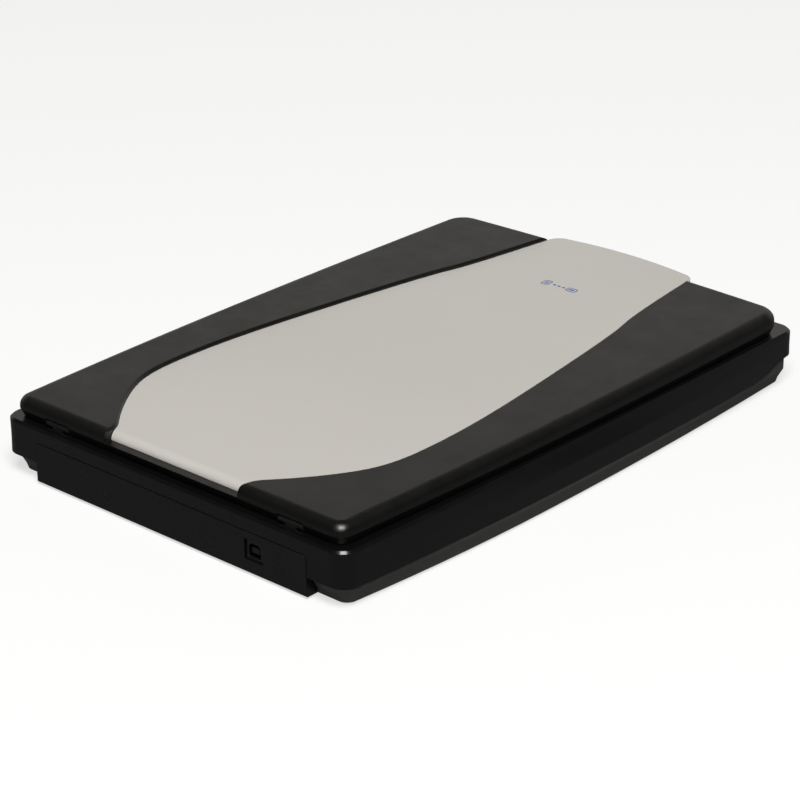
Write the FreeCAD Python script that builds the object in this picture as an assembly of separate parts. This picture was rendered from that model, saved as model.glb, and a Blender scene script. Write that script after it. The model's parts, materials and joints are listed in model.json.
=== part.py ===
import FreeCAD, Part
import math
import os

# Flatbed scanner, A4, contact image sensor, in millimetres.
# X runs to the user's right, +Y to the rear (hinge and port end), Z up.
# Dimensions are from the middle of the base, on the plane that the feet stand on; what is written
# is shifted so that the origin lies under the middle of the overall footprint, tongue included.

V = FreeCAD.Vector

# ---------------------------------------------------------------- driving dimensions: base
BASE_HALF_LENGTH = 192.0      # middle to the rear face
BASE_FRONT = 194.5            # middle to the front corners
BASE_REAR_HALF_WIDTH = 128.5
BASE_FRONT_HALF_WIDTH = 128.0
BASE_FRONT_BOW = 1.5          # the front edge's middle stands this far in front of its corners
BASE_CORNER = 10.0
RIM_CROWN = (129.8, 55.0)     # half width and Y where the deck's edge is widest
SHOULDER_CROWN = (130.8, 50.0)
SKIRT_CROWN = (134.0, 22.0)
DECK_TOP = 34.0
DECK_EDGE_SLOPE = 1.3         # how far the deck's rounded edge runs in
SHOULDER_Z = 32.7
SKIRT_TOP = 24.0
WALL = 2.5
SHELL_BOTTOM = 1.5
FLOOR_TOP = 4.0

PARTING_Z = 13.0              # joint between the two shells along the sides
PARTING_FRONT_Z = 19.0        # the joint sweeps up to this height at the front
PARTING_SWEEP = (-150.0, -189.0)
PARTING_GAP = 0.3

TRAY_TOP_CROWN = (133.5, 22.0)
TRAY_TOP_REAR = (127.4, 188.0)
TRAY_TOP_FRONT = (126.8, -191.2)
TRAY_TOP_CORNER = 11.0
TRAY_FOOT_CROWN = (131.0, 38.0)
TRAY_FOOT_REAR = (123.6, 184.8)
TRAY_FOOT_FRONT = (122.6, -189.6)
TRAY_FOOT_CORNER = 7.0
TRAY_BOW = 1.4
TRAY_WAIST_Z = 10.8           # the wall starts to run inward below this height
TRAY_FOOT_Z = 4.6
TRAY_EDGE = 1.0               # run of the rounded bottom edge

# ---------------------------------------------------------------- driving dimensions: glass and deck
WINDOW_HALF_WIDTH = 108.5
WINDOW_FRONT = -168.0
WINDOW_REAR = 134.0
WINDOW_BEVEL = 1.4
GLASS_HALF_WIDTH = 114.0
GLASS_FRONT = -176.5
GLASS_REAR = 150.0
GLASS_TOP = 31.0
GLASS_THICK = 3.0
TAPE_TOP = 31.5
STRIP_REAR = 144.0
STRIP_FRONT = 136.0

# ---------------------------------------------------------------- driving dimensions: lid
LID_CROWN = (127.8, 10.0)
LID_REAR = (123.4, 188.0)
LID_FRONT = (124.8, -185.0)
LID_BOW = 3.8
LID_REAR_CORNER = 9.0
LID_FRONT_CORNER = 15.0
LID_BOTTOM = 34.6
LID_WIDEST_Z = 39.2
LID_TOP_REAR = 46.0           # the top rises evenly towards the front
LID_TOP_FRONT = 48.0
LID_ROUNDING = 6.0
LID_UNDERCUT = 2.2
LID_WALL = 2.6
LID_CAVITY_TOP = 38.9
WING_CAVITY_TOP = 43.4
WING_EDGE_ROUNDING = 1.5
WING_EDGE_ANGLES = (25, 45, 67, 90)   # degrees round that rounding where its flats meet

PANEL_REAR_Y = 183.0          # the pale panel stops short of the lid's rear lip
PANEL_REAR_Z = 44.3           # top of the pale panel at its two ends
PANEL_FRONT_Z = 46.0
PANEL_THICK = 2.0
PANEL_REAR_ROUNDING = 5.0
PANEL_REAR_LOW_Z = 39.6
PANEL_GAP = 0.3
LIP_HALF_WIDTH = 76.0         # thickened web behind the panel's rear edge
PANEL_NECK = 50.0             # half widths of the panel's outline, rear to front
PANEL_SIDE = ((57.5, 170.0), (76.4, 146.0), (87.9, 124.0), (92.1, 90.0), (84.7, 0.0), (68.7, -100.0))
PANEL_TONGUE_SIDE = (54.0, -186.5)
PANEL_TONGUE_CORNER = ((51.2, -192.9), (44.4, -195.7))
PANEL_TONGUE_TIP = -199.5

# ---------------------------------------------------------------- driving dimensions: hinge
HINGE_X = 88.0
HINGE_Y = 185.5
HINGE_Z = 37.2
HINGE_PIN_R = 1.2
HINGE_KNUCKLE_R = 2.4
POST_HALF_WIDTH = 8.0
POST_HALF_DEPTH = 2.25
POST_NECK_HALF_WIDTH = 3.8
POST_BOTTOM = 8.5
POST_SHOULDER = 33.8
SOCKET_GAP = 0.28
SOCKET_WALL = 1.5
SOCKET_BOTTOM = 6.0
ARM_HALF_WIDTH = 8.6
ARM_LOW = 36.5
ARM_TOP = 38.85
ARM_FRONT = 150.0
ARM_FORK = 179.0

# ---------------------------------------------------------------- driving dimensions: rear port panel
PORT_PANEL_HALF_WIDTH = 102.4
PORT_PANEL_TOP = 25.0
PORT_PANEL_CORNER = 3.5
PORT_PANEL_THICK = 2.0
PORT_PANEL_FRONT = 183.7
PORT_GAP = 0.25
PORT_X = -65.0
PORT_HALF_WIDTH = 6.65
PORT_LOW = 9.0
PORT_HIGH = 20.8

# ---------------------------------------------------------------- driving dimensions: carriage and drive
HOME_Y = 140.0                # carriage centre when parked
CARRIAGE_HALF_LENGTH = 116.8
CARRIAGE_HALF_DEPTH = 10.5
CARRIAGE_LOW = 11.0
SENSOR_HALF_LENGTH = 113.4
SENSOR_HALF_DEPTH = 8.5
SENSOR_LOW = 14.0
SENSOR_TOP = 27.2
LENS_HALF_LENGTH = 107.1      # parts inside the sensor
LENS_HALF_DEPTH = 1.1
LENS_LOW = 17.0
GUIDE_HALF_LENGTH = 107.5
GUIDE_Y = (2.8, 6.2)
GUIDE_LOW = 21.1
GUIDE_TOP = 25.9
CHIP_BOARD_HALF_LENGTH = 107.8
CHIP_BOARD_HALF_DEPTH = 5.8
CHIP_TOP = 16.1
COVER_HALF_LENGTH = 109.1
COVER_HALF_DEPTH = 7.4
COVER_LOW = 26.2
FIT_GAP = 0.1
SHAFT_Z = 8.5
SHAFT_R = 2.0
BUSH_R = 3.2
RUNNING_GAP = 0.05
SHAFT_FRONT = -186.0
SHAFT_REAR = 156.0
BELT_X = 14.0                 # pulley centres
DRIVE_Y = 168.0
IDLER_Y = -176.5
BELT_INNER_R = 4.7
BELT_OUTER_R = 5.9
BELT_LOW = 6.0
BELT_HIGH = 10.0
GEAR_MODULE = 0.5
GEAR_TEETH = 48
PINION_TEETH = 12
GEAR_LOW = 11.8
GEAR_HIGH = 14.6
BRACKET_LOW = 15.2
BRACKET_HIGH = 16.4
MOTOR_R = 12.5
MOTOR_TOP = 27.4

# ---------------------------------------------------------------- driving dimensions: controls, feet, screws
BUTTON_Z = 27.0
BUTTON_X = (-36.0, -12.0, 12.0, 36.0)
BUTTON_NAMES = ("scan_button", "copy_button", "mail_button", "file_button")
BUTTON_HALF_WIDTH = 8.0
BUTTON_HALF_HEIGHT = 2.8
BUTTON_GAP = 0.25
LENS_X = 58.0
LENS_R = 1.5
FOOT_X = 96.0
FOOT_Y = 150.0
FOOT_R = 9.5
FOOT_HIGH = 2.2
CASE_SCREWS = ((100.0, -182.0), (122.4, 20.0), (112.0, 173.0))
BOSS_R = 4.4
UPPER_BOSS_R = 3.2
UPPER_BOSS_LOW = 16.0
SCREW_R = 1.5
SCREW_HEAD_R = 2.8
LINER_SCREWS = ((114.0, -118.0), (116.0, 24.0), (114.0, 118.0))
SMALL_SCREW_R = 1.1
ARM_SCREW_Y = (156.0, 170.0)
LINER_LOW = 36.8
LINER_TOP = 38.4
MAT_TOP = 31.65
BUMPERS = ((114.0, -150.0), (114.0, 141.0))
BUMPER_R = 3.5
LOCK_X = 48.0
LOCK_Y = 136.0
LOCK_GRIPS = (-3.5, -1.2, 1.2, 3.5)

# ---------------------------------------------------------------- driving dimensions: drive and electronics
MOTOR_SHAFT_R = 1.0
GEAR_SHAFT_R = 1.2
PULLEY_TEETH = 15
IDLER_PLATE_TOP = 5.2
IDLER_PLATE_REAR = IDLER_Y + 10
SPRING_POST_Y = IDLER_Y + 24
TAB_HALF_WIDTH = 2.8          # tabs at both ends of the belt spring
TAB_TOP = 9.0
FLOAT_SPRING_X = 110.7
CUP_LOW = 6.5
SPRING_WIRE_R = 0.25
SPRING_PITCH = 1.3
SENSOR_FLAG_X = 72.0
BOARD_LOW = 7.6
BOARD_TOP = 9.2
BOARD_SCREWS = ((-72.0, 156.5), (-18.0, 156.5), (-18.0, 182.0))
BRACKET_SCREWS = ((47.5, 160.5), (47.5, 182.0), (21.0, 182.5))
CHIPS = ((-44.0, 168.0, 7.0, 7.0, 1.4), (-27.0, 172.0, 4.0, 6.0, 1.2), (-58.0, 166.0, 2.6, 2.0, 1.2),
         (-34.5, 181.5, 5.6, 2.2, 3.4))
CABLE_X = -32.0
CABLE_THICK = 0.4
CABLE_FOLD_Y = -10.0
BUTTON_BOARD_Y = -188.2
BOARD_THICK = 1.4
BOARD_RIB_X = (-46.0, 62.0)


# ---------------------------------------------------------------- basic solids
def box(x0, x1, y0, y1, z0, z1):
    return Part.makeBox(x1 - x0, y1 - y0, z1 - z0, V(x0, y0, z0))


def post(x, y, z0, z1, r):
    """A round solid standing along Z."""
    return Part.makeCylinder(r, z1 - z0, V(x, y, z0), V(0, 0, 1))


def bar_x(x0, x1, y, z, r):
    return Part.makeCylinder(r, x1 - x0, V(x0, y, z), V(1, 0, 0))


def bar_y(y0, y1, x, z, r):
    return Part.makeCylinder(r, y1 - y0, V(x, y0, z), V(0, 1, 0))


def fuse(shapes):
    whole = shapes[0]
    if len(shapes) > 1:
        whole = whole.multiFuse(shapes[1:])
    return whole.removeSplitter()


def cut(shape, tools):
    for tool in tools:
        shape = shape.cut(tool)
    return shape


def mirrored(shape):
    """The same shape on the other side of the middle plane."""
    return shape.mirror(V(0, 0, 0), V(1, 0, 0))


def both_sides(shape):
    return [shape, mirrored(shape)]


def prism(wire, height):
    return Part.Face(wire).extrude(V(0, 0, height))


def rounded_rectangle(cx, cy, half_x, half_y, r, z):
    """A closed wire in the XY plane with four equal round corners."""
    edges = []
    for quarter in range(4):
        turn = math.pi / 2 * quarter
        sx = 1 if quarter in (0, 3) else -1
        sy = 1 if quarter in (0, 1) else -1
        centre = V(cx + sx * (half_x - r), cy + sy * (half_y - r), z)
        angles = [turn, turn + math.pi / 4, turn + math.pi / 2]
        ends = [centre + V(math.cos(a), math.sin(a), 0) * r for a in angles]
        edges.append((ends, Part.Arc(*ends).toShape()))
    closed = []
    for i, (ends, arc) in enumerate(edges):
        closed.append(arc)
        closed.append(Part.makeLine(ends[2], edges[(i + 1) % 4][0][0]))
    return Part.Wire(closed)


def rounded_block(cx, cy, half_x, half_y, r, z0, z1):
    return prism(rounded_rectangle(cx, cy, half_x, half_y, r, z0), z1 - z0)


def edges_at(shape, z):
    return [e for e in shape.Edges if abs(e.BoundBox.ZMin - z) < 1e-3 and abs(e.BoundBox.ZMax - z) < 1e-3]


def save(name, shape):
    footprint_middle = (BASE_HALF_LENGTH + PANEL_TONGUE_TIP) / 2
    shape.translate(V(0, -footprint_middle, 0))
    shape.exportStep("parts/" + name + ".step")


# ---------------------------------------------------------------- plan outlines
def bow_radius(sag, run):
    return (sag * sag + run * run) / (2 * sag)


def towards(centre, point, distance):
    ray = point - centre
    return centre + ray * (distance / ray.Length)


def round_edge(centre, start, end):
    """The shorter arc about centre from start to end."""
    middle = towards(centre, (start + end) * 0.5, (start - centre).Length)
    return Part.Arc(start, middle, end).toShape()


class Outline:
    """A plan outline: straight rear edge, sides bowed about a crown, bowed front edge, round corners."""

    def __init__(self, crown, rear, front, bow, rear_corner, front_corner):
        self.crown = crown
        self.rear = rear
        self.front = front
        self.bow = bow
        self.rear_corner = rear_corner
        self.front_corner = front_corner

    def wire(self, z, inset=0.0):
        cx, cy = self.crown
        rear_r = bow_radius(cx - self.rear[0], self.rear[1] - cy)
        front_r = bow_radius(cx - self.front[0], cy - self.front[1])
        nose_r = bow_radius(self.bow, self.front[0])
        rear_c = V(cx - rear_r, cy, z)
        front_c = V(cx - front_r, cy, z)
        nose_c = V(0, self.front[1] - self.bow + nose_r, z)
        r = max(self.rear_corner - inset, 0.8)
        y = self.rear[1] - inset - r
        corner = V(rear_c.x + math.sqrt((rear_r - inset - r) ** 2 - (y - cy) ** 2), y, z)
        a = V(corner.x, corner.y + r, z)
        b = towards(rear_c, corner, rear_r - inset)
        crown = V(cx - inset, cy, z)
        r = max(self.front_corner - inset, 0.8)
        near = front_r - inset - r
        far = nose_r - inset - r
        gap = (nose_c - front_c).Length
        along = (near ** 2 - far ** 2 + gap ** 2) / (2 * gap)
        unit = (nose_c - front_c) * (1 / gap)
        across = V(unit.y, -unit.x, 0)
        front_corner = front_c + unit * along + across * math.sqrt(near ** 2 - along ** 2)
        c = towards(front_c, front_corner, front_r - inset)
        d = towards(nose_c, front_corner, nose_r - inset)
        right = [
            round_edge(corner, a, b),
            round_edge(rear_c, b, crown),
            round_edge(front_c, crown, c),
            round_edge(front_corner, c, d),
        ]
        left = [mirrored(e) for e in right]
        tip = V(0, nose_c.y - nose_r + inset, z)
        nose = Part.Arc(d, tip, V(-d.x, d.y, z)).toShape()
        back = Part.makeLine(V(-a.x, a.y, z), a)
        return Part.Wire(Part.__sortEdges__(right + [nose] + left + [back]))

    def prism(self, z0, z1, inset=0.0):
        return prism(self.wire(z0, inset), z1 - z0)


def loft(levels):
    """A solid through plan outlines; each level is (outline, z, inset)."""
    return Part.makeLoft([outline.wire(z, inset) for outline, z, inset in levels], True, True)


def base_outline(crown):
    rear = (BASE_REAR_HALF_WIDTH, BASE_HALF_LENGTH)
    front = (BASE_FRONT_HALF_WIDTH, -BASE_FRONT)
    return Outline(crown, rear, front, BASE_FRONT_BOW, BASE_CORNER, BASE_CORNER)


RIM = base_outline(RIM_CROWN)
SHOULDER = base_outline(SHOULDER_CROWN)
SKIRT = base_outline(SKIRT_CROWN)
TRAY_TOP = Outline(TRAY_TOP_CROWN, TRAY_TOP_REAR, TRAY_TOP_FRONT, TRAY_BOW,
                   TRAY_TOP_CORNER, TRAY_TOP_CORNER)
TRAY_FOOT = Outline(TRAY_FOOT_CROWN, TRAY_FOOT_REAR, TRAY_FOOT_FRONT, TRAY_BOW,
                    TRAY_FOOT_CORNER, TRAY_FOOT_CORNER)
LID = Outline(LID_CROWN, LID_REAR, LID_FRONT, LID_BOW, LID_REAR_CORNER, LID_FRONT_CORNER)


def front_face_y(x):
    """Y of the base's bowed front face at x."""
    r = bow_radius(BASE_FRONT_BOW, BASE_FRONT_HALF_WIDTH)
    return -BASE_FRONT - BASE_FRONT_BOW + r - math.sqrt(r * r - x * x)


def below_parting(gap):
    """Everything under the joint between the shells, less half the shadow gap."""
    y0, y1 = PARTING_SWEEP
    z0 = PARTING_Z - gap
    z1 = PARTING_FRONT_Z - gap
    reach = 220.0
    middle = V(0, (y0 + y1) / 2, (z0 + z1) / 2)
    r = ((y0 - y1) ** 2 + (z1 - z0) ** 2) / (4 * (z1 - z0))
    edges = [
        Part.makeLine(V(0, reach, -10), V(0, reach, z0)),
        Part.makeLine(V(0, reach, z0), V(0, y0, z0)),
        round_edge(V(0, y0, z0 + r), V(0, y0, z0), middle),
        round_edge(V(0, y1, z1 - r), middle, V(0, y1, z1)),
        Part.makeLine(V(0, y1, z1), V(0, -reach, z1)),
        Part.makeLine(V(0, -reach, z1), V(0, -reach, -10)),
        Part.makeLine(V(0, -reach, -10), V(0, reach, -10)),
    ]
    profile = Part.Face(Part.Wire(edges))
    profile.translate(V(-150, 0, 0))
    return profile.extrude(V(300, 0, 0))


# ---------------------------------------------------------------- base shells
def window_tool():
    """The deck's glass opening with a bevelled edge."""
    cy = (WINDOW_FRONT + WINDOW_REAR) / 2
    half_y = (WINDOW_REAR - WINDOW_FRONT) / 2
    low = rounded_rectangle(0, cy, WINDOW_HALF_WIDTH, half_y, 1.0, DECK_TOP - WINDOW_BEVEL)
    wide = WINDOW_HALF_WIDTH + WINDOW_BEVEL
    high = rounded_rectangle(0, cy, wide, half_y + WINDOW_BEVEL, 1.0 + WINDOW_BEVEL, DECK_TOP + 0.01)
    straight = rounded_block(0, cy, WINDOW_HALF_WIDTH, half_y, 1.0, GLASS_TOP - 2, DECK_TOP)
    return straight.fuse(Part.makeLoft([low, high], True, True))


def socket(outer):
    """A hinge socket on the right: its outside, or the space for the post."""
    grow = SOCKET_GAP + (SOCKET_WALL if outer else 0.0)
    low = SOCKET_BOTTOM + (0.0 if outer else SOCKET_WALL)
    high = DECK_TOP - WALL if outer else DECK_TOP + 1
    x = POST_HALF_WIDTH + grow
    y = POST_HALF_DEPTH + grow
    return box(HINGE_X - x, HINGE_X + x, HINGE_Y - y, HINGE_Y + y, low, high)


def rear_opening():
    """Opening in the rear wall for the port panel, with a groove's clearance all round."""
    half = PORT_PANEL_HALF_WIDTH + PORT_GAP
    top = PORT_PANEL_TOP + PORT_GAP
    low = 2.0
    block = box(-half, half, BASE_HALF_LENGTH - WALL - 0.5, BASE_HALF_LENGTH + 1, low, top)
    upright = [e for e in block.Edges if e.BoundBox.YLength > WALL and abs(e.BoundBox.ZMin - top) < 1e-3]
    return block.makeFillet(PORT_PANEL_CORNER, upright)


def button_hole(x, y_margin, grow):
    """A stadium-shaped solid along Y through the front wall at x."""
    r = BUTTON_HALF_HEIGHT + grow
    half = BUTTON_HALF_WIDTH + grow
    y = front_face_y(x)
    block = box(x - half, x + half, y - y_margin, y + WALL + y_margin, BUTTON_Z - r, BUTTON_Z + r)
    along = [e for e in block.Edges if e.BoundBox.YLength > 1]
    return block.makeFillet(r - 0.01, along)


def upper_housing():
    outer = loft([(SKIRT, PARTING_Z - 3, 0), (SKIRT, SKIRT_TOP, 0.3), (SHOULDER, SHOULDER_Z, 0),
                  (RIM, DECK_TOP, DECK_EDGE_SLOPE)])
    rise = SHOULDER_Z - SKIRT_TOP
    inner = loft([(SKIRT, PARTING_Z - 4, WALL), (SKIRT, SKIRT_TOP - 1, WALL + 0.3),
                  (SHOULDER, SKIRT_TOP - 1 + rise * 0.8, WALL), (SHOULDER, DECK_TOP - WALL, WALL)])
    shell = outer.cut(inner).cut(below_parting(0))
    additions = both_sides(socket(True))
    for x, y in CASE_SCREWS:
        additions += both_sides(post(x, y, UPPER_BOSS_LOW, DECK_TOP - WALL + 0.5, UPPER_BOSS_R))
    for x in BOARD_RIB_X:
        additions.append(box(x - 1, x + 1, BUTTON_BOARD_Y + BOARD_THICK, BUTTON_BOARD_Y + BOARD_THICK + 2,
                             BUTTON_Z - 5, DECK_TOP - WALL + 0.5))
    shell = fuse([shell] + additions)
    tools = [window_tool(), rear_opening()] + both_sides(socket(False))
    for x, y in CASE_SCREWS:
        tools += both_sides(post(x, y, UPPER_BOSS_LOW - 1, UPPER_BOSS_LOW + 11, SCREW_R))
    tools += [button_hole(x, 1.0, BUTTON_GAP) for x in BUTTON_X]
    tools.append(bar_y(front_face_y(LENS_X) - 2, front_face_y(LENS_X) + 6, LENS_X, BUTTON_Z, LENS_R))
    return cut(shell, tools)


def tray_solid(inset, low, high):
    """The lower shell's outside, or its inside when inset by the wall."""
    levels = [(TRAY_TOP, TRAY_WAIST_Z, inset), (TRAY_TOP, high, inset)]
    edge = 0.0 if inset else TRAY_EDGE
    return loft([(TRAY_FOOT, low, inset + edge), (TRAY_FOOT, TRAY_FOOT_Z, inset)] + levels)


def lower_housing():
    shell = tray_solid(0.0, SHELL_BOTTOM, 24.0).cut(tray_solid(WALL, FLOOR_TOP, 25.0))
    shell = shell.common(below_parting(PARTING_GAP))
    wide = PORT_PANEL_HALF_WIDTH - 3.4
    shell = shell.cut(box(-wide, wide, BASE_HALF_LENGTH - 14, BASE_HALF_LENGTH, TRAY_FOOT_Z, 30))
    wide = PORT_PANEL_HALF_WIDTH + PORT_GAP
    shell = shell.cut(box(-wide, wide, PORT_PANEL_FRONT - PORT_GAP, BASE_HALF_LENGTH, 0, 30))
    additions = []
    for x, y in CASE_SCREWS:
        additions += both_sides(post(x, y, FLOOR_TOP - 0.5, UPPER_BOSS_LOW - PARTING_GAP, BOSS_R))
    for x, y, top, r in tray_posts():
        additions.append(post(x, y, FLOOR_TOP - 0.5, top, r))
    for y in (SHAFT_FRONT, SHAFT_REAR - 5):
        additions.append(box(-5, 5, y, y + 5, FLOOR_TOP - 0.5, SHAFT_Z + SHAFT_R + 1.2))
    additions.append(box(BELT_X - TAB_HALF_WIDTH, BELT_X + TAB_HALF_WIDTH, SPRING_POST_Y, SPRING_POST_Y + 2,
                         FLOOR_TOP - 0.5, TAB_TOP))
    additions.append(post(BELT_X, DRIVE_Y, FLOOR_TOP - 0.5, FLOOR_TOP + 0.8, GEAR_SHAFT_R + 1.2))
    shell = fuse([shell] + additions)
    tools = [bar_y(SHAFT_FRONT, SHAFT_REAR, 0, SHAFT_Z, SHAFT_R)]
    tools.append(post(BELT_X, DRIVE_Y, FLOOR_TOP - 1, FLOOR_TOP + 1, GEAR_SHAFT_R))
    for x, y in CASE_SCREWS:
        tools += both_sides(post(x, y, SHELL_BOTTOM - 1, SHELL_BOTTOM + 5, SCREW_HEAD_R + 0.3))
        tools += both_sides(post(x, y, SHELL_BOTTOM, UPPER_BOSS_LOW + 1, SCREW_R + 0.15))
    for x, y, top, r in tray_posts():
        tools.append(post(x, y, max(top - 6, FLOOR_TOP - 0.5), top + 1, SMALL_SCREW_R))
    for y in (-FOOT_Y, FOOT_Y):
        tools += both_sides(post(FOOT_X, y, 0, FOOT_HIGH, FOOT_R))
    tools.append(box(LOCK_X - 6, LOCK_X + 12, LOCK_Y - 2.2, LOCK_Y + 2.2, 0, FLOOR_TOP + 1))
    return cut(shell, tools)


def tray_posts():
    """Posts moulded on the tray floor for screws: x, y, top, radius."""
    board = [(x, y, BOARD_LOW, 2.8) for x, y in BOARD_SCREWS]
    bracket = [(x, y, BRACKET_LOW, 2.8) for x, y in BRACKET_SCREWS]
    return board + bracket


def rear_port_panel():
    """The rear cover: a plate flush with the rear wall that turns under to meet the tray."""
    half = PORT_PANEL_HALF_WIDTH
    back = BASE_HALF_LENGTH
    plate = box(-half, half, back - PORT_PANEL_THICK, back, SHELL_BOTTOM, PORT_PANEL_TOP)
    top = [e for e in plate.Edges if e.BoundBox.YLength > 1 and abs(e.BoundBox.ZMin - PORT_PANEL_TOP) < 1e-3
           and abs(e.BoundBox.XMin) > half - 1e-3]
    plate = plate.makeFillet(PORT_PANEL_CORNER, top)
    under = box(-half, half, PORT_PANEL_FRONT, back - 1, SHELL_BOTTOM, SHELL_BOTTOM + PORT_PANEL_THICK)
    side = box(half - PORT_PANEL_THICK, half, PORT_PANEL_FRONT, back - 1,
               SHELL_BOTTOM, PARTING_Z - PARTING_GAP)
    panel = fuse([plate, under] + both_sides(side))
    bottom = [e for e in panel.Edges if e.BoundBox.XLength > 2 * half - 1
              and e.BoundBox.ZMax < SHELL_BOTTOM + 0.1 and e.BoundBox.YMin > back - 0.1]
    panel = panel.makeFillet(1.0, bottom)
    port = box(PORT_X - PORT_HALF_WIDTH, PORT_X + PORT_HALF_WIDTH, back - 4, back + 1, PORT_LOW, PORT_HIGH)
    return panel.cut(port)


# ---------------------------------------------------------------- glass
def scan_glass():
    cy = (GLASS_FRONT + GLASS_REAR) / 2
    half_y = (GLASS_REAR - GLASS_FRONT) / 2
    return rounded_block(0, cy, GLASS_HALF_WIDTH, half_y, 2.0, GLASS_TOP - GLASS_THICK, GLASS_TOP)


def glass_tape():
    cy = (GLASS_FRONT + GLASS_REAR) / 2
    half_y = (GLASS_REAR - GLASS_FRONT) / 2
    frame = rounded_block(0, cy, GLASS_HALF_WIDTH - 1, half_y - 1, 2.0, GLASS_TOP, TAPE_TOP)
    window = box(-WINDOW_HALF_WIDTH - 1, WINDOW_HALF_WIDTH + 1, WINDOW_FRONT - 1, WINDOW_REAR + 1, 30, 33)
    strip = box(-WINDOW_HALF_WIDTH - 2, WINDOW_HALF_WIDTH + 2, WINDOW_REAR, STRIP_REAR + 0.6, 30, 33)
    return cut(frame, [window, strip])


def calibration_strip():
    half = WINDOW_HALF_WIDTH + 1.5
    return box(-half, half, STRIP_FRONT, STRIP_REAR, GLASS_TOP, GLASS_TOP + 0.4)


# ---------------------------------------------------------------- lid
def panel_plan(grow):
    """The pale panel's plan, a bottle with an S-shaped shoulder and a bowed tongue; grow widens it."""
    start = V(PANEL_NECK + grow, LID_REAR[1] + 8, 0)
    neck = V(PANEL_NECK + grow, PANEL_REAR_Y, 0)
    tongue_side = V(PANEL_TONGUE_SIDE[0] + grow, PANEL_TONGUE_SIDE[1], 0)
    corner_mid, corner_end = [V(x + grow, y - grow, 0) for x, y in PANEL_TONGUE_CORNER]
    points = [neck] + [V(x + grow, y, 0) for x, y in PANEL_SIDE] + [tongue_side]
    curve = Part.BSplineCurve()
    curve.interpolate(Points=points, InitialTangent=V(0.12, -1, 0), FinalTangent=V(-0.13, -1, 0))
    corner = Part.Arc(tongue_side, corner_mid, corner_end).toShape()
    right = [Part.makeLine(start, neck), curve.toShape(), corner]
    tip = V(0, PANEL_TONGUE_TIP - grow, 0)
    tongue = Part.Arc(corner_end, tip, V(-corner_end.x, corner_end.y, 0)).toShape()
    back = Part.makeLine(V(-start.x, start.y, 0), start)
    wire = Part.Wire(Part.__sortEdges__(right + [tongue] + [mirrored(e) for e in right] + [back]))
    return Part.Face(wire)


def panel_plan_solid(grow, z0, z1):
    solid = panel_plan(grow).extrude(V(0, 0, z1 - z0))
    solid.translate(V(0, 0, z0))
    return solid


def panel_layer(depth, drop):
    """Space between the panel's top less depth and a floor drop lower, rounded down at the rear."""
    reach = PANEL_TONGUE_TIP - 10
    back = PANEL_REAR_Y - depth
    r = PANEL_REAR_ROUNDING - depth
    top_rear = PANEL_REAR_Z - depth
    top_front = PANEL_FRONT_Z - depth
    centre = V(0, back - r, top_rear - r)
    low = PANEL_REAR_LOW_Z - drop
    points = [V(0, reach, low - 5), V(0, reach, top_front),
              V(0, back - r, top_rear), V(0, back, top_rear - r)]
    edges = [
        Part.makeLine(points[0], points[1]),
        Part.makeLine(points[1], points[2]),
        round_edge(centre, points[2], points[3]),
        Part.makeLine(points[3], V(0, back, low)),
        Part.makeLine(V(0, back, low), V(0, back, low - 5)),
        Part.makeLine(V(0, back, low - 5), points[0]),
    ]
    profile = Part.Face(Part.Wire(edges))
    profile.translate(V(-120, 0, 0))
    return profile.extrude(V(240, 0, 0))


def lid_panel():
    skin = panel_layer(0.0, 0.0).cut(panel_layer(PANEL_THICK, 0.0))
    plan = panel_plan_solid(0.0, PANEL_REAR_LOW_Z, 50)
    panel = skin.common(plan)
    return panel


def lid_slope():
    """Rise of the lid's top per millimetre towards the front."""
    return (LID_TOP_FRONT - LID_TOP_REAR) / (LID_REAR[1] - LID_FRONT[1])


def lid_top_z(y):
    return LID_TOP_REAR + lid_slope() * (LID_REAR[1] - y)


def above_lid_top():
    """Everything over the sloping plane of the lid's top."""
    y0 = LID_FRONT[1] - 15
    y1 = LID_REAR[1] + 15
    ceiling = LID_TOP_FRONT + 15
    corners = [V(-150, y0, lid_top_z(y0)), V(-150, y1, lid_top_z(y1)),
               V(-150, y1, ceiling), V(-150, y0, ceiling)]
    return Part.Face(Part.makePolygon(corners + corners[:1])).extrude(V(300, 0, 0))


def lid_envelope():
    body = LID.prism(LID_WIDEST_Z, LID_TOP_FRONT + 5).cut(above_lid_top())
    top = []
    for edge in body.Edges:
        if all(abs(v.Z - lid_top_z(v.Y)) < 1e-3 for v in edge.Vertexes):
            top.append(edge)
    body = body.makeFillet(LID_ROUNDING, top)
    skirt = loft([(LID, LID_BOTTOM, LID_UNDERCUT), (LID, LID_WIDEST_Z, 0)])
    return body.fuse(skirt)


def wing_edge_tool():
    """Rounds the wings' inner top edges: the panel's plan, widened in steps along part of a circle."""
    r = WING_EDGE_ROUNDING
    levels = [(PANEL_GAP - 0.3 * r, LID_TOP_REAR - 1.2 * r)]
    for angle in WING_EDGE_ANGLES:
        turn = math.radians(angle)
        levels.append((PANEL_GAP + r * (1 - math.cos(turn)), LID_TOP_REAR - r * (1 - math.sin(turn))))
    wires = []
    for grow, z in levels:
        wire = panel_plan(grow).OuterWire
        wire.translate(V(0, 0, z))
        wires.append(wire)
    above = panel_plan_solid(PANEL_GAP + r, LID_TOP_REAR - 0.01, LID_TOP_REAR + 2)
    tool = Part.makeLoft(wires, True, True).fuse(above)
    tool.rotate(V(0, LID_REAR[1], LID_TOP_REAR), V(1, 0, 0), -math.degrees(math.atan(lid_slope())))
    return tool


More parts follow.
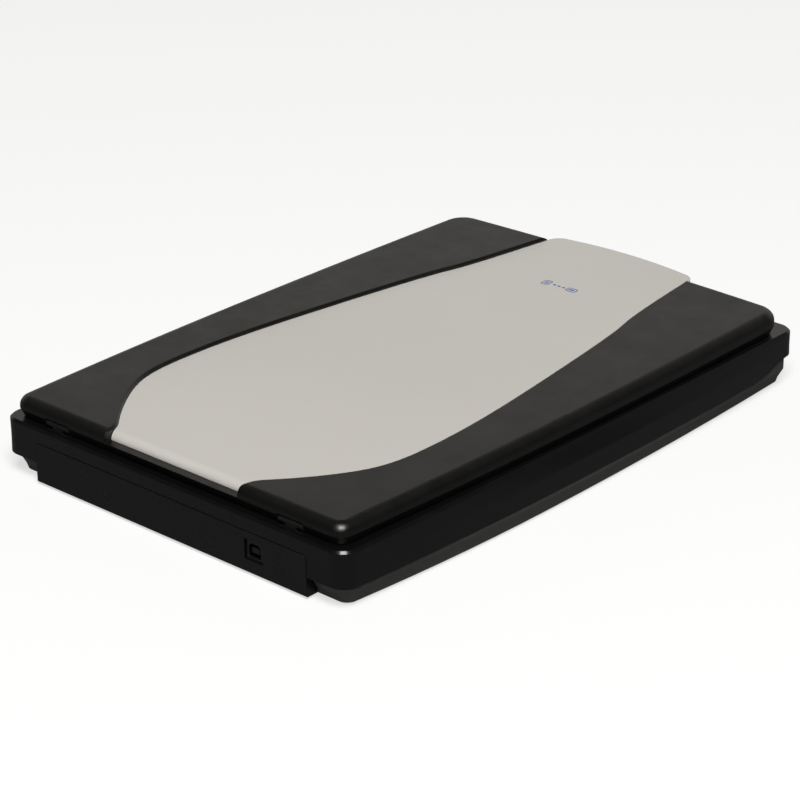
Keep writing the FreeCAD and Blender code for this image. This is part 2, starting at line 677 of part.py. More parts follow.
def lid_cover():
    under_panel = panel_layer(PANEL_THICK + 0.1, 10)
    above_panel = panel_plan_solid(PANEL_GAP, PANEL_REAR_LOW_Z - 0.1, 60).cut(under_panel)
    body = lid_envelope().cut(above_panel).cut(wing_edge_tool())
    cavity = LID.prism(LID_BOTTOM - 1, LID_CAVITY_TOP, LID_WALL)
    pockets = LID.prism(LID_CAVITY_TOP - 1, WING_CAVITY_TOP, LID_WALL).cut(
        panel_plan_solid(LID_WALL, LID_BOTTOM, 60))
    body = cut(body, [cavity, pockets])
    tongue = panel_plan_solid(-1.5, LID_BOTTOM, 60).common(under_panel)
    tongue = tongue.common(box(-60, 60, PANEL_TONGUE_TIP, LID_FRONT[1] + 5, LID_CAVITY_TOP, 60))
    lip = LID.prism(LINER_TOP + 0.05, PANEL_REAR_LOW_Z - 0.1, LID_WALL - 0.1)
    lip = lip.common(box(-LIP_HALF_WIDTH, LIP_HALF_WIDTH, PANEL_REAR_Y - 8, LID_REAR[1], LID_BOTTOM, 60))
    additions = [tongue, lip]
    for x, y in LINER_SCREWS:
        additions += both_sides(post(x, y, LINER_TOP + 0.05, WING_CAVITY_TOP + 0.5, 3.2))
    for y in ARM_SCREW_Y:
        additions += both_sides(post(HINGE_X, y, ARM_TOP, WING_CAVITY_TOP + 0.5, 3.2))
    body = fuse([body] + additions)
    tools = []
    for x, y in LINER_SCREWS:
        tools += both_sides(post(x, y, LINER_TOP - 1, WING_CAVITY_TOP - 0.4, SMALL_SCREW_R))
    for y in ARM_SCREW_Y:
        tools += both_sides(post(HINGE_X, y, ARM_TOP - 1, WING_CAVITY_TOP - 0.4, SMALL_SCREW_R))
    notch = box(HINGE_X - ARM_HALF_WIDTH - 0.6, HINGE_X + ARM_HALF_WIDTH + 0.6, HINGE_Y - 9, HINGE_Y + 4,
                LID_BOTTOM - 1, HINGE_Z + HINGE_KNUCKLE_R + 0.4)
    tools += both_sides(notch)
    return cut(body, tools)


def lid_liner():
    """The flat inner cover of the lid, notched for the hinge arms."""
    plate = LID.prism(LINER_LOW, LINER_TOP, LID_WALL + 0.3)
    notch = box(HINGE_X - ARM_HALF_WIDTH - 0.6, HINGE_X + ARM_HALF_WIDTH + 0.6, ARM_FRONT - 0.6, HINGE_Y,
                LINER_LOW - 1, LINER_TOP + 1)
    tools = both_sides(notch)
    for x, y in LINER_SCREWS:
        tools += both_sides(post(x, y, LINER_LOW - 1, LINER_TOP + 1, SMALL_SCREW_R + 0.1))
    return cut(plate, tools)


def pad_outline(inset, low, high):
    cy = (WINDOW_FRONT + WINDOW_REAR) / 2
    half_y = (WINDOW_REAR - WINDOW_FRONT) / 2 - inset
    return rounded_block(0, cy, WINDOW_HALF_WIDTH - inset, half_y, 2.0, low, high)


def foam_pad():
    return pad_outline(3.0, MAT_TOP + 0.05, LINER_LOW - 0.02)


def document_mat():
    return pad_outline(2.4, GLASS_TOP + 0.15, MAT_TOP)


def small_screw(x, y, seat, length, r, head_r, head_high):
    """A pan-head screw driven upward: its head hangs below the seat."""
    head = post(x, y, seat - head_high, seat, head_r)
    head = head.makeFillet(head_high * 0.45, edges_at(head, seat - head_high))
    reach = head_r * 0.6
    low = seat - head_high - 1
    high = seat - head_high * 0.45
    slot = [box(x - reach, x + reach, y - 0.25, y + 0.25, low, high),
            box(x - 0.25, x + 0.25, y - reach, y + reach, low, high)]
    return cut(head.fuse(post(x, y, seat, seat + length, r)), slot)


def group(shapes):
    return Part.makeCompound(shapes)


def liner_screws():
    places = [(side * x, y) for x, y in LINER_SCREWS for side in (-1, 1)]
    return group([small_screw(x, y, LINER_LOW, 5.5, SMALL_SCREW_R, 2.2, 1.3) for x, y in places])


def arm_screws():
    places = [(side * HINGE_X, y) for y in ARM_SCREW_Y for side in (-1, 1)]
    return group([small_screw(x, y, ARM_LOW, 6.0, SMALL_SCREW_R, 2.2, 1.3) for x, y in places])


def lid_bumpers():
    """Rubber pads that the closed lid rests on."""
    shapes = []
    for x, y in BUMPERS:
        pad = post(x, y, DECK_TOP + 0.05, LINER_LOW, BUMPER_R)
        shapes += both_sides(pad.makeFillet(0.8, edges_at(pad, DECK_TOP + 0.05)))
    return group(shapes)


# ---------------------------------------------------------------- hinge
def hinge_post():
    """A flat stem that slides in its socket, with a neck and the middle knuckle on top."""
    y0 = HINGE_Y - POST_HALF_DEPTH
    y1 = HINGE_Y + POST_HALF_DEPTH
    stem = box(HINGE_X - POST_HALF_WIDTH, HINGE_X + POST_HALF_WIDTH, y0, y1, POST_BOTTOM, POST_SHOULDER)
    lead = [e for e in stem.Edges if abs(e.BoundBox.ZMax - POST_BOTTOM) < 1e-3]
    stem = stem.makeChamfer(0.8, lead)
    slim = box(HINGE_X - POST_HALF_WIDTH + 3, HINGE_X + POST_HALF_WIDTH - 3, y0 - 1, y0 + 1.2,
               POST_BOTTOM + 3, POST_SHOULDER - 6)
    x0 = HINGE_X - POST_NECK_HALF_WIDTH
    x1 = HINGE_X + POST_NECK_HALF_WIDTH
    neck = box(x0, x1, y0, y1, POST_SHOULDER - 1, HINGE_Z)
    knuckle = bar_x(x0, x1, HINGE_Y, HINGE_Z, HINGE_KNUCKLE_R)
    bore = bar_x(x0 - 1, x1 + 1, HINGE_Y, HINGE_Z, HINGE_PIN_R + RUNNING_GAP)
    return fuse([stem.cut(slim), neck, knuckle]).cut(bore)


def hinge_arm():
    """A plate screwed under the lid, forked at the rear into two knuckles."""
    x0 = HINGE_X - ARM_HALF_WIDTH
    x1 = HINGE_X + ARM_HALF_WIDTH
    plate = box(x0, x1, ARM_FRONT, HINGE_Y, ARM_LOW, ARM_TOP)
    knuckles = bar_x(x0, x1, HINGE_Y, HINGE_Z, HINGE_KNUCKLE_R)
    neck_half = POST_NECK_HALF_WIDTH + 0.3
    fork = box(HINGE_X - neck_half, HINGE_X + neck_half, ARM_FORK, HINGE_Y + 5, ARM_LOW - 5, ARM_TOP + 5)
    tools = [fork, bar_x(x0 - 1, x1 + 1, HINGE_Y, HINGE_Z, HINGE_PIN_R)]
    tools += [post(HINGE_X, y, ARM_LOW - 1, ARM_TOP + 1, SMALL_SCREW_R + 0.1) for y in ARM_SCREW_Y]
    return cut(fuse([plate, knuckles]), tools)


def hinge_pins():
    pin = bar_x(HINGE_X - ARM_HALF_WIDTH, HINGE_X + ARM_HALF_WIDTH, HINGE_Y, HINGE_Z, HINGE_PIN_R)
    return group(both_sides(pin))


# ---------------------------------------------------------------- base fittings
def rubber_feet():
    shapes = []
    for y in (-FOOT_Y, FOOT_Y):
        foot = post(FOOT_X, y, 0, FOOT_HIGH, FOOT_R - 0.05)
        shapes += both_sides(foot.makeFillet(0.9, edges_at(foot, 0)))
    return group(shapes)


def case_screws():
    seat = SHELL_BOTTOM + 5
    places = [(side * x, y) for x, y in CASE_SCREWS for side in (-1, 1)]
    return group([small_screw(x, y, seat, 15, SCREW_R, SCREW_HEAD_R, 2.0) for x, y in places])


def screws_from_above(places, seat, length):
    """Pan-head screws whose heads sit on top of the seat."""
    shapes = []
    for x, y in places:
        screw = small_screw(x, -y, -seat, length, SMALL_SCREW_R, 2.2, 1.3)
        shapes.append(screw.rotate(V(0, 0, 0), V(1, 0, 0), 180))
    return group(shapes)


def guide_shaft():
    shaft = bar_y(SHAFT_FRONT + 1, SHAFT_REAR - 1, 0, SHAFT_Z, SHAFT_R)
    return shaft.makeChamfer(0.4, [e for e in shaft.Edges if e.BoundBox.YLength < 0.01])


def stepper_motor():
    x, y = motor_place()
    can = post(x, y, BRACKET_HIGH, MOTOR_TOP, MOTOR_R)
    can = can.makeFillet(1.2, edges_at(can, MOTOR_TOP))
    plug = box(x - 5, x + 5, y + MOTOR_R - 2, y + MOTOR_R + 3.5, BRACKET_HIGH + 1, BRACKET_HIGH + 7)
    seam = post(x, y, BRACKET_HIGH + 5, BRACKET_HIGH + 5.4, MOTOR_R + 1).cut(
        post(x, y, BRACKET_HIGH + 4, BRACKET_HIGH + 7, MOTOR_R - 0.4))
    bore = post(x, y, BRACKET_HIGH - 1, BRACKET_HIGH + 6, MOTOR_SHAFT_R + RUNNING_GAP)
    return can.fuse(plug).cut(seam).cut(bore)


def motor_place():
    """The motor's axis, one mesh distance to the right of the pulley gear."""
    return BELT_X + GEAR_MODULE * (GEAR_TEETH + PINION_TEETH) / 2, DRIVE_Y


def motor_bracket():
    x, y = motor_place()
    plate = box(BELT_X - 5, 51.0, 157.0, 186.5, BRACKET_LOW, BRACKET_HIGH)
    upright = [e for e in plate.Edges if e.BoundBox.ZLength > 1]
    plate = plate.makeFillet(2.5, upright)
    tools = [post(x, y, BRACKET_LOW - 1, BRACKET_HIGH + 1, 4.2)]
    tools.append(post(BELT_X, DRIVE_Y, BRACKET_LOW - 1, BRACKET_HIGH + 1, GEAR_SHAFT_R))
    for px, py in BRACKET_SCREWS:
        tools.append(post(px, py, BRACKET_LOW - 1, BRACKET_HIGH + 1, SMALL_SCREW_R + 0.1))
    return cut(plate, tools)


def gear_shaft():
    return post(BELT_X, DRIVE_Y, FLOOR_TOP - 1, BRACKET_HIGH, GEAR_SHAFT_R)


def gear_disc(x, y, teeth, low, high, bore_r):
    """A spur gear whose teeth stop just short of the pitch circle."""
    tip = GEAR_MODULE * teeth / 2 - 0.1
    root = tip - GEAR_MODULE
    pitch = 2 * math.pi / teeth
    points = []
    for i in range(teeth):
        turn = pitch * i
        for angle, r in ((-0.30, root), (-0.16, tip), (0.16, tip), (0.30, root)):
            a = turn + angle * pitch
            points.append(V(x + r * math.cos(a), y + r * math.sin(a), low))
    points.append(points[0])
    disc = Part.Face(Part.makePolygon(points)).extrude(V(0, 0, high - low))
    return disc.cut(post(x, y, low - 1, high + 1, bore_r))


def grooved_pulley(x, y, low, high, flange_low, flange_high, bore_r):
    """A belt pulley: a toothed drum between two thin flanges."""
    drum = post(x, y, low, high, BELT_INNER_R - 0.15)
    grooves = []
    for i in range(PULLEY_TEETH):
        a = 2 * math.pi * i / PULLEY_TEETH
        r = BELT_INNER_R
        grooves.append(post(x + r * math.cos(a), y + r * math.sin(a), low, high, 0.5))
    drum = drum.cut(Part.makeCompound(grooves))
    flange_r = BELT_OUTER_R + 0.4
    flanges = [post(x, y, flange_low, low, flange_r), post(x, y, high, flange_high, flange_r)]
    return fuse([drum] + flanges).cut(post(x, y, flange_low - 1, flange_high + 1, bore_r))


def pulley_gear():
    bore = GEAR_SHAFT_R + RUNNING_GAP
    pulley = grooved_pulley(BELT_X, DRIVE_Y, BELT_LOW - 0.3, BELT_HIGH + 0.3,
                            BELT_LOW - 1.0, BELT_HIGH + 1.0, bore)
    hub = post(BELT_X, DRIVE_Y, BELT_HIGH + 1, GEAR_LOW, 4.0)
    hub = hub.cut(post(BELT_X, DRIVE_Y, BELT_HIGH, GEAR_HIGH, bore))
    return fuse([pulley, hub, gear_disc(BELT_X, DRIVE_Y, GEAR_TEETH, GEAR_LOW, GEAR_HIGH, bore)])


def motor_pinion():
    x, y = motor_place()
    return gear_disc(x, y, PINION_TEETH, GEAR_LOW - 0.3, GEAR_HIGH + 0.3, MOTOR_SHAFT_R)


def motor_shaft():
    x, y = motor_place()
    return post(x, y, GEAR_LOW - 0.6, BRACKET_HIGH + 5.5, MOTOR_SHAFT_R)


def idler_pulley():
    bore = GEAR_SHAFT_R + RUNNING_GAP
    return grooved_pulley(BELT_X, IDLER_Y, BELT_LOW - 0.2, BELT_HIGH + 0.2,
                          BELT_LOW - 0.6, BELT_HIGH + 0.6, bore)


def idler_shaft():
    return post(BELT_X, IDLER_Y, IDLER_PLATE_TOP, BELT_HIGH + 0.8, GEAR_SHAFT_R)


def idler_bracket():
    """A stamped plate that slides on the tray floor and stands up at the rear to take the spring."""
    low = FLOOR_TOP + 0.1
    plate = box(BELT_X - 6, BELT_X + 6, IDLER_Y - 6, IDLER_PLATE_REAR, low, IDLER_PLATE_TOP)
    tab = box(BELT_X - TAB_HALF_WIDTH, BELT_X + TAB_HALF_WIDTH,
              IDLER_PLATE_REAR - 1, IDLER_PLATE_REAR, low, TAB_TOP)
    return fuse([plate, tab])


def coil(r, wire_r, pitch, height):
    """A helical spring standing on the XY plane."""
    helix = Part.makeHelix(pitch, height, r)
    ring = Part.Wire(Part.Circle(V(r, 0, 0), V(0, 1, 0), wire_r).toShape())
    return Part.Wire(helix).makePipeShell([ring], True, True)


def belt_spring():
    """The compression spring that pushes the idler away from the drive end."""
    gap = SPRING_POST_Y - IDLER_PLATE_REAR
    spring = coil(1.6, SPRING_WIRE_R, SPRING_PITCH, gap - 0.7)
    spring.rotate(V(0, 0, 0), V(1, 0, 0), -90)
    spring.translate(V(BELT_X, IDLER_PLATE_REAR + 0.35, FLOOR_TOP + 2.6))
    return spring


def drive_belt():
    length = DRIVE_Y - IDLER_Y
    cy = (DRIVE_Y + IDLER_Y) / 2
    outer = rounded_block(BELT_X, cy, BELT_OUTER_R, length / 2 + BELT_OUTER_R,
                          BELT_OUTER_R - 1e-3, BELT_LOW, BELT_HIGH)
    inner = rounded_block(BELT_X, cy, BELT_INNER_R, length / 2 + BELT_INNER_R,
                          BELT_INNER_R - 1e-3, BELT_LOW - 1, BELT_HIGH + 1)
    return outer.cut(inner)


# ---------------------------------------------------------------- carriage
def carriage_holder():
    half = CARRIAGE_HALF_LENGTH
    deep = CARRIAGE_HALF_DEPTH
    low = CARRIAGE_LOW
    floor = box(-half, half, HOME_Y - deep, HOME_Y + deep, low, low + 1.8)
    rails = [box(-half, half, HOME_Y - deep, HOME_Y - deep + 1.5, low, 18.0),
             box(-half, half, HOME_Y + deep - 1.5, HOME_Y + deep, low, 18.0)]
    ends = both_sides(box(half - 1.5, half, HOME_Y - deep, HOME_Y + deep, low, 21.0))
    block = box(-6.2, 6.2, HOME_Y - deep, HOME_Y + deep, SHAFT_Z - 3.9, low + 1)
    cups = both_sides(post(FLOAT_SPRING_X, HOME_Y, CUP_LOW, low + 0.5, 3.2))
    ribs = [box(LOCK_X + 3, LOCK_X + 9, y, y + 1.6, low - 3, low + 0.5) for y in (LOCK_Y - 5, LOCK_Y + 3.4)]
    flag = box(SENSOR_FLAG_X - 0.4, SENSOR_FLAG_X + 0.4, HOME_Y + deep - 1, HOME_Y + deep + 4, 7.5, low + 1.5)
    body = fuse([floor, block, flag] + rails + ends + cups + ribs)
    tools = [bar_y(HOME_Y - deep - 1, HOME_Y + deep + 1, 0, SHAFT_Z, BUSH_R)]
    tools += both_sides(post(FLOAT_SPRING_X, HOME_Y, CUP_LOW + 1, 15, 2.6))
    return cut(body, tools)


def carriage_bushes():
    shapes = []
    for y in (HOME_Y - CARRIAGE_HALF_DEPTH, HOME_Y + CARRIAGE_HALF_DEPTH - 5):
        ring = bar_y(y, y + 5, 0, SHAFT_Z, BUSH_R)
        shapes.append(ring.cut(bar_y(y - 1, y + 6, 0, SHAFT_Z, SHAFT_R + RUNNING_GAP)))
    return group(shapes)


def belt_clip():
    x = BELT_X - (BELT_INNER_R + BELT_OUTER_R) / 2
    y = HOME_Y + 1
    body = box(x - 2.0, x + 2.0, y, y + 8, BELT_LOW - 0.8, CARRIAGE_LOW)
    slot = box(x - 0.75, x + 0.75, y - 1, y + 9, 0, BELT_HIGH + 0.2)
    return body.cut(slot)


def in_sensor(half_length, y0, y1, z0, z1, gap=0.0):
    """A block across the sensor; y is from the sensor's middle, gap widens it in plan."""
    return box(-half_length - gap, half_length + gap, HOME_Y + y0 - gap, HOME_Y + y1 + gap, z0, z1)


def sensor_housing():
    body = in_sensor(SENSOR_HALF_LENGTH, -SENSOR_HALF_DEPTH, SENSOR_HALF_DEPTH, SENSOR_LOW, SENSOR_TOP)
    tools = [
        in_sensor(LENS_HALF_LENGTH, -LENS_HALF_DEPTH, LENS_HALF_DEPTH, SENSOR_LOW, SENSOR_TOP, FIT_GAP),
        in_sensor(GUIDE_HALF_LENGTH, *GUIDE_Y, GUIDE_LOW - FIT_GAP, SENSOR_TOP, FIT_GAP),
        in_sensor(CHIP_BOARD_HALF_LENGTH, -CHIP_BOARD_HALF_DEPTH, CHIP_BOARD_HALF_DEPTH,
                  SENSOR_LOW - 1, CHIP_TOP + FIT_GAP, FIT_GAP),
        in_sensor(COVER_HALF_LENGTH, -COVER_HALF_DEPTH, COVER_HALF_DEPTH, COVER_LOW, SENSOR_TOP + 1, FIT_GAP),
    ]
    return cut(body, tools)


def sensor_cover_glass():
    return in_sensor(COVER_HALF_LENGTH, -COVER_HALF_DEPTH, COVER_HALF_DEPTH, COVER_LOW, SENSOR_TOP)


def rod_lens():
    return in_sensor(LENS_HALF_LENGTH, -LENS_HALF_DEPTH, LENS_HALF_DEPTH, LENS_LOW, COVER_LOW - FIT_GAP)


def light_guide():
    guide = in_sensor(GUIDE_HALF_LENGTH, *GUIDE_Y, GUIDE_LOW, GUIDE_TOP)
    edge = []
    for e in guide.Edges:
        lengthwise = e.BoundBox.XLength > 2 * GUIDE_HALF_LENGTH - 1
        if lengthwise and e.BoundBox.ZMin > GUIDE_TOP - 0.5 and e.BoundBox.YMax < HOME_Y + GUIDE_Y[0] + 0.5:
            edge.append(e)
    return guide.makeChamfer(1.4, edge)


def sensor_board():
    low = SENSOR_LOW + FIT_GAP
    board_top = CHIP_TOP - 0.5
    half = CHIP_BOARD_HALF_LENGTH
    board = in_sensor(half, -CHIP_BOARD_HALF_DEPTH, CHIP_BOARD_HALF_DEPTH, low, board_top)
    return board.fuse(in_sensor(half - 1.3, -0.5, 0.5, board_top, CHIP_TOP))


def float_springs():
    """Two springs that hold the sensor up against the glass."""
    height = SENSOR_LOW - CUP_LOW - 1
    shapes = []
    for side in (-1, 1):
        spring = coil(2.1, SPRING_WIRE_R, SPRING_PITCH, height - 0.6)
        spring.translate(V(side * FLOAT_SPRING_X, HOME_Y, CUP_LOW + 1.3))
        shapes.append(spring)
    return group(shapes)


def glass_sliders():
    """Low-friction shoes that ride under the glass at the sensor's ends."""
    x0 = SENSOR_HALF_LENGTH + 0.1
    y0 = HOME_Y - SENSOR_HALF_DEPTH + 1
    y1 = HOME_Y + SENSOR_HALF_DEPTH - 1
    shoe = box(x0, CARRIAGE_HALF_LENGTH, y0, y1, 22.5, GLASS_TOP - GLASS_THICK - 0.1)
    lap = box(x0 - 3.5, x0 + 1, y0, y1, SENSOR_TOP, GLASS_TOP - GLASS_THICK - 0.1)
    return group(both_sides(fuse([shoe, lap])))


# ---------------------------------------------------------------- electronics
def main_board():
    board = box(-76.0, -14.0, 153.0, 186.0, BOARD_LOW, BOARD_TOP)
    return cut(board, [post(x, y, 0, 20, SMALL_SCREW_R + 0.1) for x, y in BOARD_SCREWS])


def board_chips():
    """Packages on the main board: x, y, half sizes, height."""
    low = BOARD_TOP
    chips = []
    for x, y, half_x, half_y, high in CHIPS:
        chips.append(box(x - half_x, x + half_x, y - half_y, y + half_y, low, low + high))
    return group(chips)


def cable_socket():
    low = BOARD_TOP
    body = box(CABLE_X - 7.5, CABLE_X + 7.5, 153.2, 157.2, low, low + 2.4)
    return body.cut(box(CABLE_X - 6.3, CABLE_X + 6.3, 152.0, 155.2, low + 0.7, low + 1.3))


def flat_cable():
    """The fixed run of the flat cable: from the board, down to the floor, forward, and folded back."""
    t = CABLE_THICK
    z_floor = FLOOR_TOP + 0.25
    z_back = z_floor + 2.0
    z_board = BOARD_TOP + 1.0
    front = CABLE_FOLD_Y
    upper = [(154.9, z_board), (151.6, z_board), (150.4, z_board - 1.4),
             (150.0, z_floor + 1.4), (148.8, z_floor), (front, z_floor)]
    lower = [(front, z_back), (HOME_Y - 14, z_back), (HOME_Y - 9, CARRIAGE_LOW - 1.2)]
    pieces = [strip_between(a, b, t) for a, b in zip(upper, upper[1:])]
    pieces += [strip_between(a, b, t) for a, b in zip(lower, lower[1:])]
    r = (z_back - z_floor) / 2
    middle = z_floor + r
    bend = bar_x(CABLE_X - 6, CABLE_X + 6, front, middle, r + t / 2)
    bend = bend.cut(bar_x(CABLE_X - 7, CABLE_X + 7, front, middle, r - t / 2))
    bend = bend.common(box(CABLE_X - 7, CABLE_X + 7, front - 5, front, 0, 20))
    return fuse(pieces + [bend])


def strip_between(a, b, t):
    """A flat strip of the cable's width whose centre line runs from a to b in the YZ plane."""
    run = V(0, b[0] - a[0], b[1] - a[1])
    side = V(0, -run.z, run.y) * (t / 2 / run.Length)
    p = V(CABLE_X - 6, a[0], a[1])
    q = V(CABLE_X - 6, b[0], b[1])
    corners = [p + side, q + side, q - side, p - side, p + side]
    strip = Part.Face(Part.makePolygon(corners)).extrude(V(12, 0, 0))
    joint = bar_x(CABLE_X - 6, CABLE_X + 6, b[0], b[1], t / 2)
    return strip.fuse(joint)


def port_shell():
    """The port's metal shell, open at the rear."""
    low = BOARD_TOP
    shell = box(PORT_X - 6.0, PORT_X + 6.0, 174.0, 190.8, low, low + 10.8)
    middle = low + 5.4
    cavity = box(PORT_X - 4.25, PORT_X + 4.25, 182.0, 192.0, middle - 3.9, middle + 3.9)
    top = [e for e in cavity.Edges if e.BoundBox.YLength > 5 and e.BoundBox.ZMin > middle]
    return shell.cut(cavity.makeChamfer(1.6, top))


def port_insert():
    middle = BOARD_TOP + 5.4
    return box(PORT_X - 2.8, PORT_X + 2.8, 182.0, 190.0, middle - 1.6, middle + 1.6)


def home_sensor():
    """A slotted optical sensor that the carriage's flag enters at home."""
    x = SENSOR_FLAG_X
    y = HOME_Y + CARRIAGE_HALF_DEPTH + 1.2
    body = box(x - 5, x + 5, y, y + 5, FLOOR_TOP, 11.5)
    return body.cut(box(x - 1.6, x + 1.6, y - 1, y + 6, FLOOR_TOP + 2.5, 12))


def button_board():
    return box(-50.0, 66.0, BUTTON_BOARD_Y, BUTTON_BOARD_Y + BOARD_THICK, BUTTON_Z - 6.0, BUTTON_Z + 3.4)


def button_switches():
    shapes = []
    for x in BUTTON_X:
        shapes.append(box(x - 3, x + 3, BUTTON_BOARD_Y - 2.9, BUTTON_BOARD_Y, BUTTON_Z - 3, BUTTON_Z + 3))
    return group(shapes)


def button(x):
    """A front button: cap, flange behind the wall, and a stem that meets its switch."""
    y = front_face_y(x)
    cap = button_solid(x, BUTTON_HALF_WIDTH, BUTTON_HALF_HEIGHT, y - 0.9, y + WALL + 0.7)
    front = [e for e in cap.Edges if e.BoundBox.YMax < y - 0.8]
    cap = cap.makeFillet(0.5, front)
    flange = button_solid(x, BUTTON_HALF_WIDTH + 1.2, BUTTON_HALF_HEIGHT + 1.0,
                          y + WALL + 0.6, y + WALL + 1.4)
    return fuse([cap, flange])


def button_solid(x, half, r, y0, y1):
    block = box(x - half, x + half, y0, y1, BUTTON_Z - r, BUTTON_Z + r)
    along = [e for e in block.Edges if e.BoundBox.XLength < 0.01 and e.BoundBox.ZLength < 0.01]
    return block.makeFillet(r - 0.01, along)


def status_lens():
    y = front_face_y(LENS_X)
    lens = bar_y(y - 0.3, BUTTON_BOARD_Y - 0.6, LENS_X, BUTTON_Z, LENS_R)
    return lens.makeFillet(0.25, [e for e in lens.Edges if e.BoundBox.YMax < y])


def lock_slider():
    """The transport lock: a finger tab below, a tongue above that enters the carriage's catch."""
    plate = box(LOCK_X - 8, LOCK_X + 6, LOCK_Y - 3.6, LOCK_Y + 3.6, FLOOR_TOP + 0.1, FLOOR_TOP + 1.3)
    nub = box(LOCK_X - 5.6, LOCK_X + 5.6, LOCK_Y - 2.0, LOCK_Y + 2.0, SHELL_BOTTOM + 0.3, FLOOR_TOP + 0.2)
    grips = []
    for dx in LOCK_GRIPS:
        grips.append(box(LOCK_X + dx - 0.4, LOCK_X + dx + 0.4, LOCK_Y - 3, LOCK_Y + 3, 0, SHELL_BOTTOM + 0.8))
    tongue = box(LOCK_X - 3.5, LOCK_X + 1.5, LOCK_Y - 3.0, LOCK_Y + 3.0, FLOOR_TOP + 1, CARRIAGE_LOW - 0.7)
    return fuse([plate, cut(nub, grips), tongue])


# ---------------------------------------------------------------- write every sub-part
PARTS = {
    "upper_housing": upper_housing,
    "lower_housing": lower_housing,
    "rear_port_panel": rear_port_panel,
    "scan_glass": scan_glass,
    "glass_tape": glass_tape,
    "calibration_strip": calibration_strip,
    "lid_cover": lid_cover,
    "lid_panel": lid_panel,
    "lid_liner": lid_liner,
    "foam_pad": foam_pad,
    "document_mat": document_mat,
    "liner_screws": liner_screws,
    "arm_screws": arm_screws,
    "lid_bumpers": lid_bumpers,
    "right_hinge_post": hinge_post,
    "left_hinge_post": lambda: mirrored(hinge_post()),
    "right_hinge_arm": hinge_arm,
    "left_hinge_arm": lambda: mirrored(hinge_arm()),
    "hinge_pins": hinge_pins,
    "rubber_feet": rubber_feet,
    "case_screws": case_screws,
    "guide_shaft": guide_shaft,
    "stepper_motor": stepper_motor,
    "motor_bracket": motor_bracket,
    "bracket_screws": lambda: screws_from_above(BRACKET_SCREWS, BRACKET_HIGH, 6),
    "gear_shaft": gear_shaft,
    "pulley_gear": pulley_gear,
    "motor_pinion": motor_pinion,
    "motor_shaft": motor_shaft,
    "idler_pulley": idler_pulley,
    "idler_shaft": idler_shaft,
    "idler_bracket": idler_bracket,
    "belt_spring": belt_spring,
    "drive_belt": drive_belt,
    "carriage_holder": carriage_holder,
    "carriage_bushes": carriage_bushes,
    "belt_clip": belt_clip,
    "sensor_housing": sensor_housing,
    "sensor_cover_glass": sensor_cover_glass,
    "rod_lens": rod_lens,
    "light_guide": light_guide,
    "sensor_board": sensor_board,
    "float_springs": float_springs,
    "glass_sliders": glass_sliders,
    "main_board": main_board,
    "board_chips": board_chips,
    "board_screws": lambda: screws_from_above(BOARD_SCREWS, BOARD_TOP, 5),
    "cable_socket": cable_socket,
    "flat_cable": flat_cable,
    "port_shell": port_shell,
    "port_insert": port_insert,
    "home_sensor": home_sensor,
    "button_board": button_board,
    "button_switches": button_switches,
    "status_lens": status_lens,
    "lock_slider": lock_slider,
}

os.makedirs("parts", exist_ok=True)
for part_name, make in PARTS.items():
    save(part_name, make())
for part_name, x in zip(BUTTON_NAMES, BUTTON_X):
    save(part_name, button(x))
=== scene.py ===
"""Looks for the flatbed scanner. Everything is in metres, in the CAD's frame: +X right, +Y rear, +Z up."""
import json
import math
import bpy
import bmesh
from mathutils import Matrix, Vector, noise

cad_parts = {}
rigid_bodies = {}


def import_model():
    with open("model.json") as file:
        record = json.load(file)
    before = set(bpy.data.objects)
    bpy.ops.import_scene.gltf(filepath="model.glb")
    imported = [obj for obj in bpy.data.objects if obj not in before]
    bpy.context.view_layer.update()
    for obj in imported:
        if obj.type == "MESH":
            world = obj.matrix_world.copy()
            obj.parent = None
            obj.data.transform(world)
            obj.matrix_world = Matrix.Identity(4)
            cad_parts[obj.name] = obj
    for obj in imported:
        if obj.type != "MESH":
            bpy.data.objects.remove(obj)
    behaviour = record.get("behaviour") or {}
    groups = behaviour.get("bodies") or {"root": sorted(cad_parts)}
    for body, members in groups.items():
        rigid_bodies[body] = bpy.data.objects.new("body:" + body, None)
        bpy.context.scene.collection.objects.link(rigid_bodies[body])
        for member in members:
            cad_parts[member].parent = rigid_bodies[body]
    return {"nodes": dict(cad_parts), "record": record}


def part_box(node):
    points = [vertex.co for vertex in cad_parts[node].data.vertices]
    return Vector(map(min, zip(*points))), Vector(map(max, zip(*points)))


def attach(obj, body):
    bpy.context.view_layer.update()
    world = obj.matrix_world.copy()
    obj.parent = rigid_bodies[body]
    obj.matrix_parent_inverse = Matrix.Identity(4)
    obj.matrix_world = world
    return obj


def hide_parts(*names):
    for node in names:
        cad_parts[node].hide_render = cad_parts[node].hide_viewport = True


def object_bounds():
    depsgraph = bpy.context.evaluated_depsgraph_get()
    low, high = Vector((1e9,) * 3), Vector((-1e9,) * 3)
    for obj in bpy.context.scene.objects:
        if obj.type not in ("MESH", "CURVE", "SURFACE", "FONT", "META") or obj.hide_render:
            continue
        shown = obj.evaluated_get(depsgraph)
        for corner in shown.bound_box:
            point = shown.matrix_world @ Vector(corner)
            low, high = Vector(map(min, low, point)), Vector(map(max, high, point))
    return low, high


for stray in list(bpy.data.objects):
    bpy.data.objects.remove(stray)

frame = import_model()
CAD_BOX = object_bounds()
CAD_LOW, CAD_HIGH = CAD_BOX
NODES = frame["nodes"]
MM = 0.001

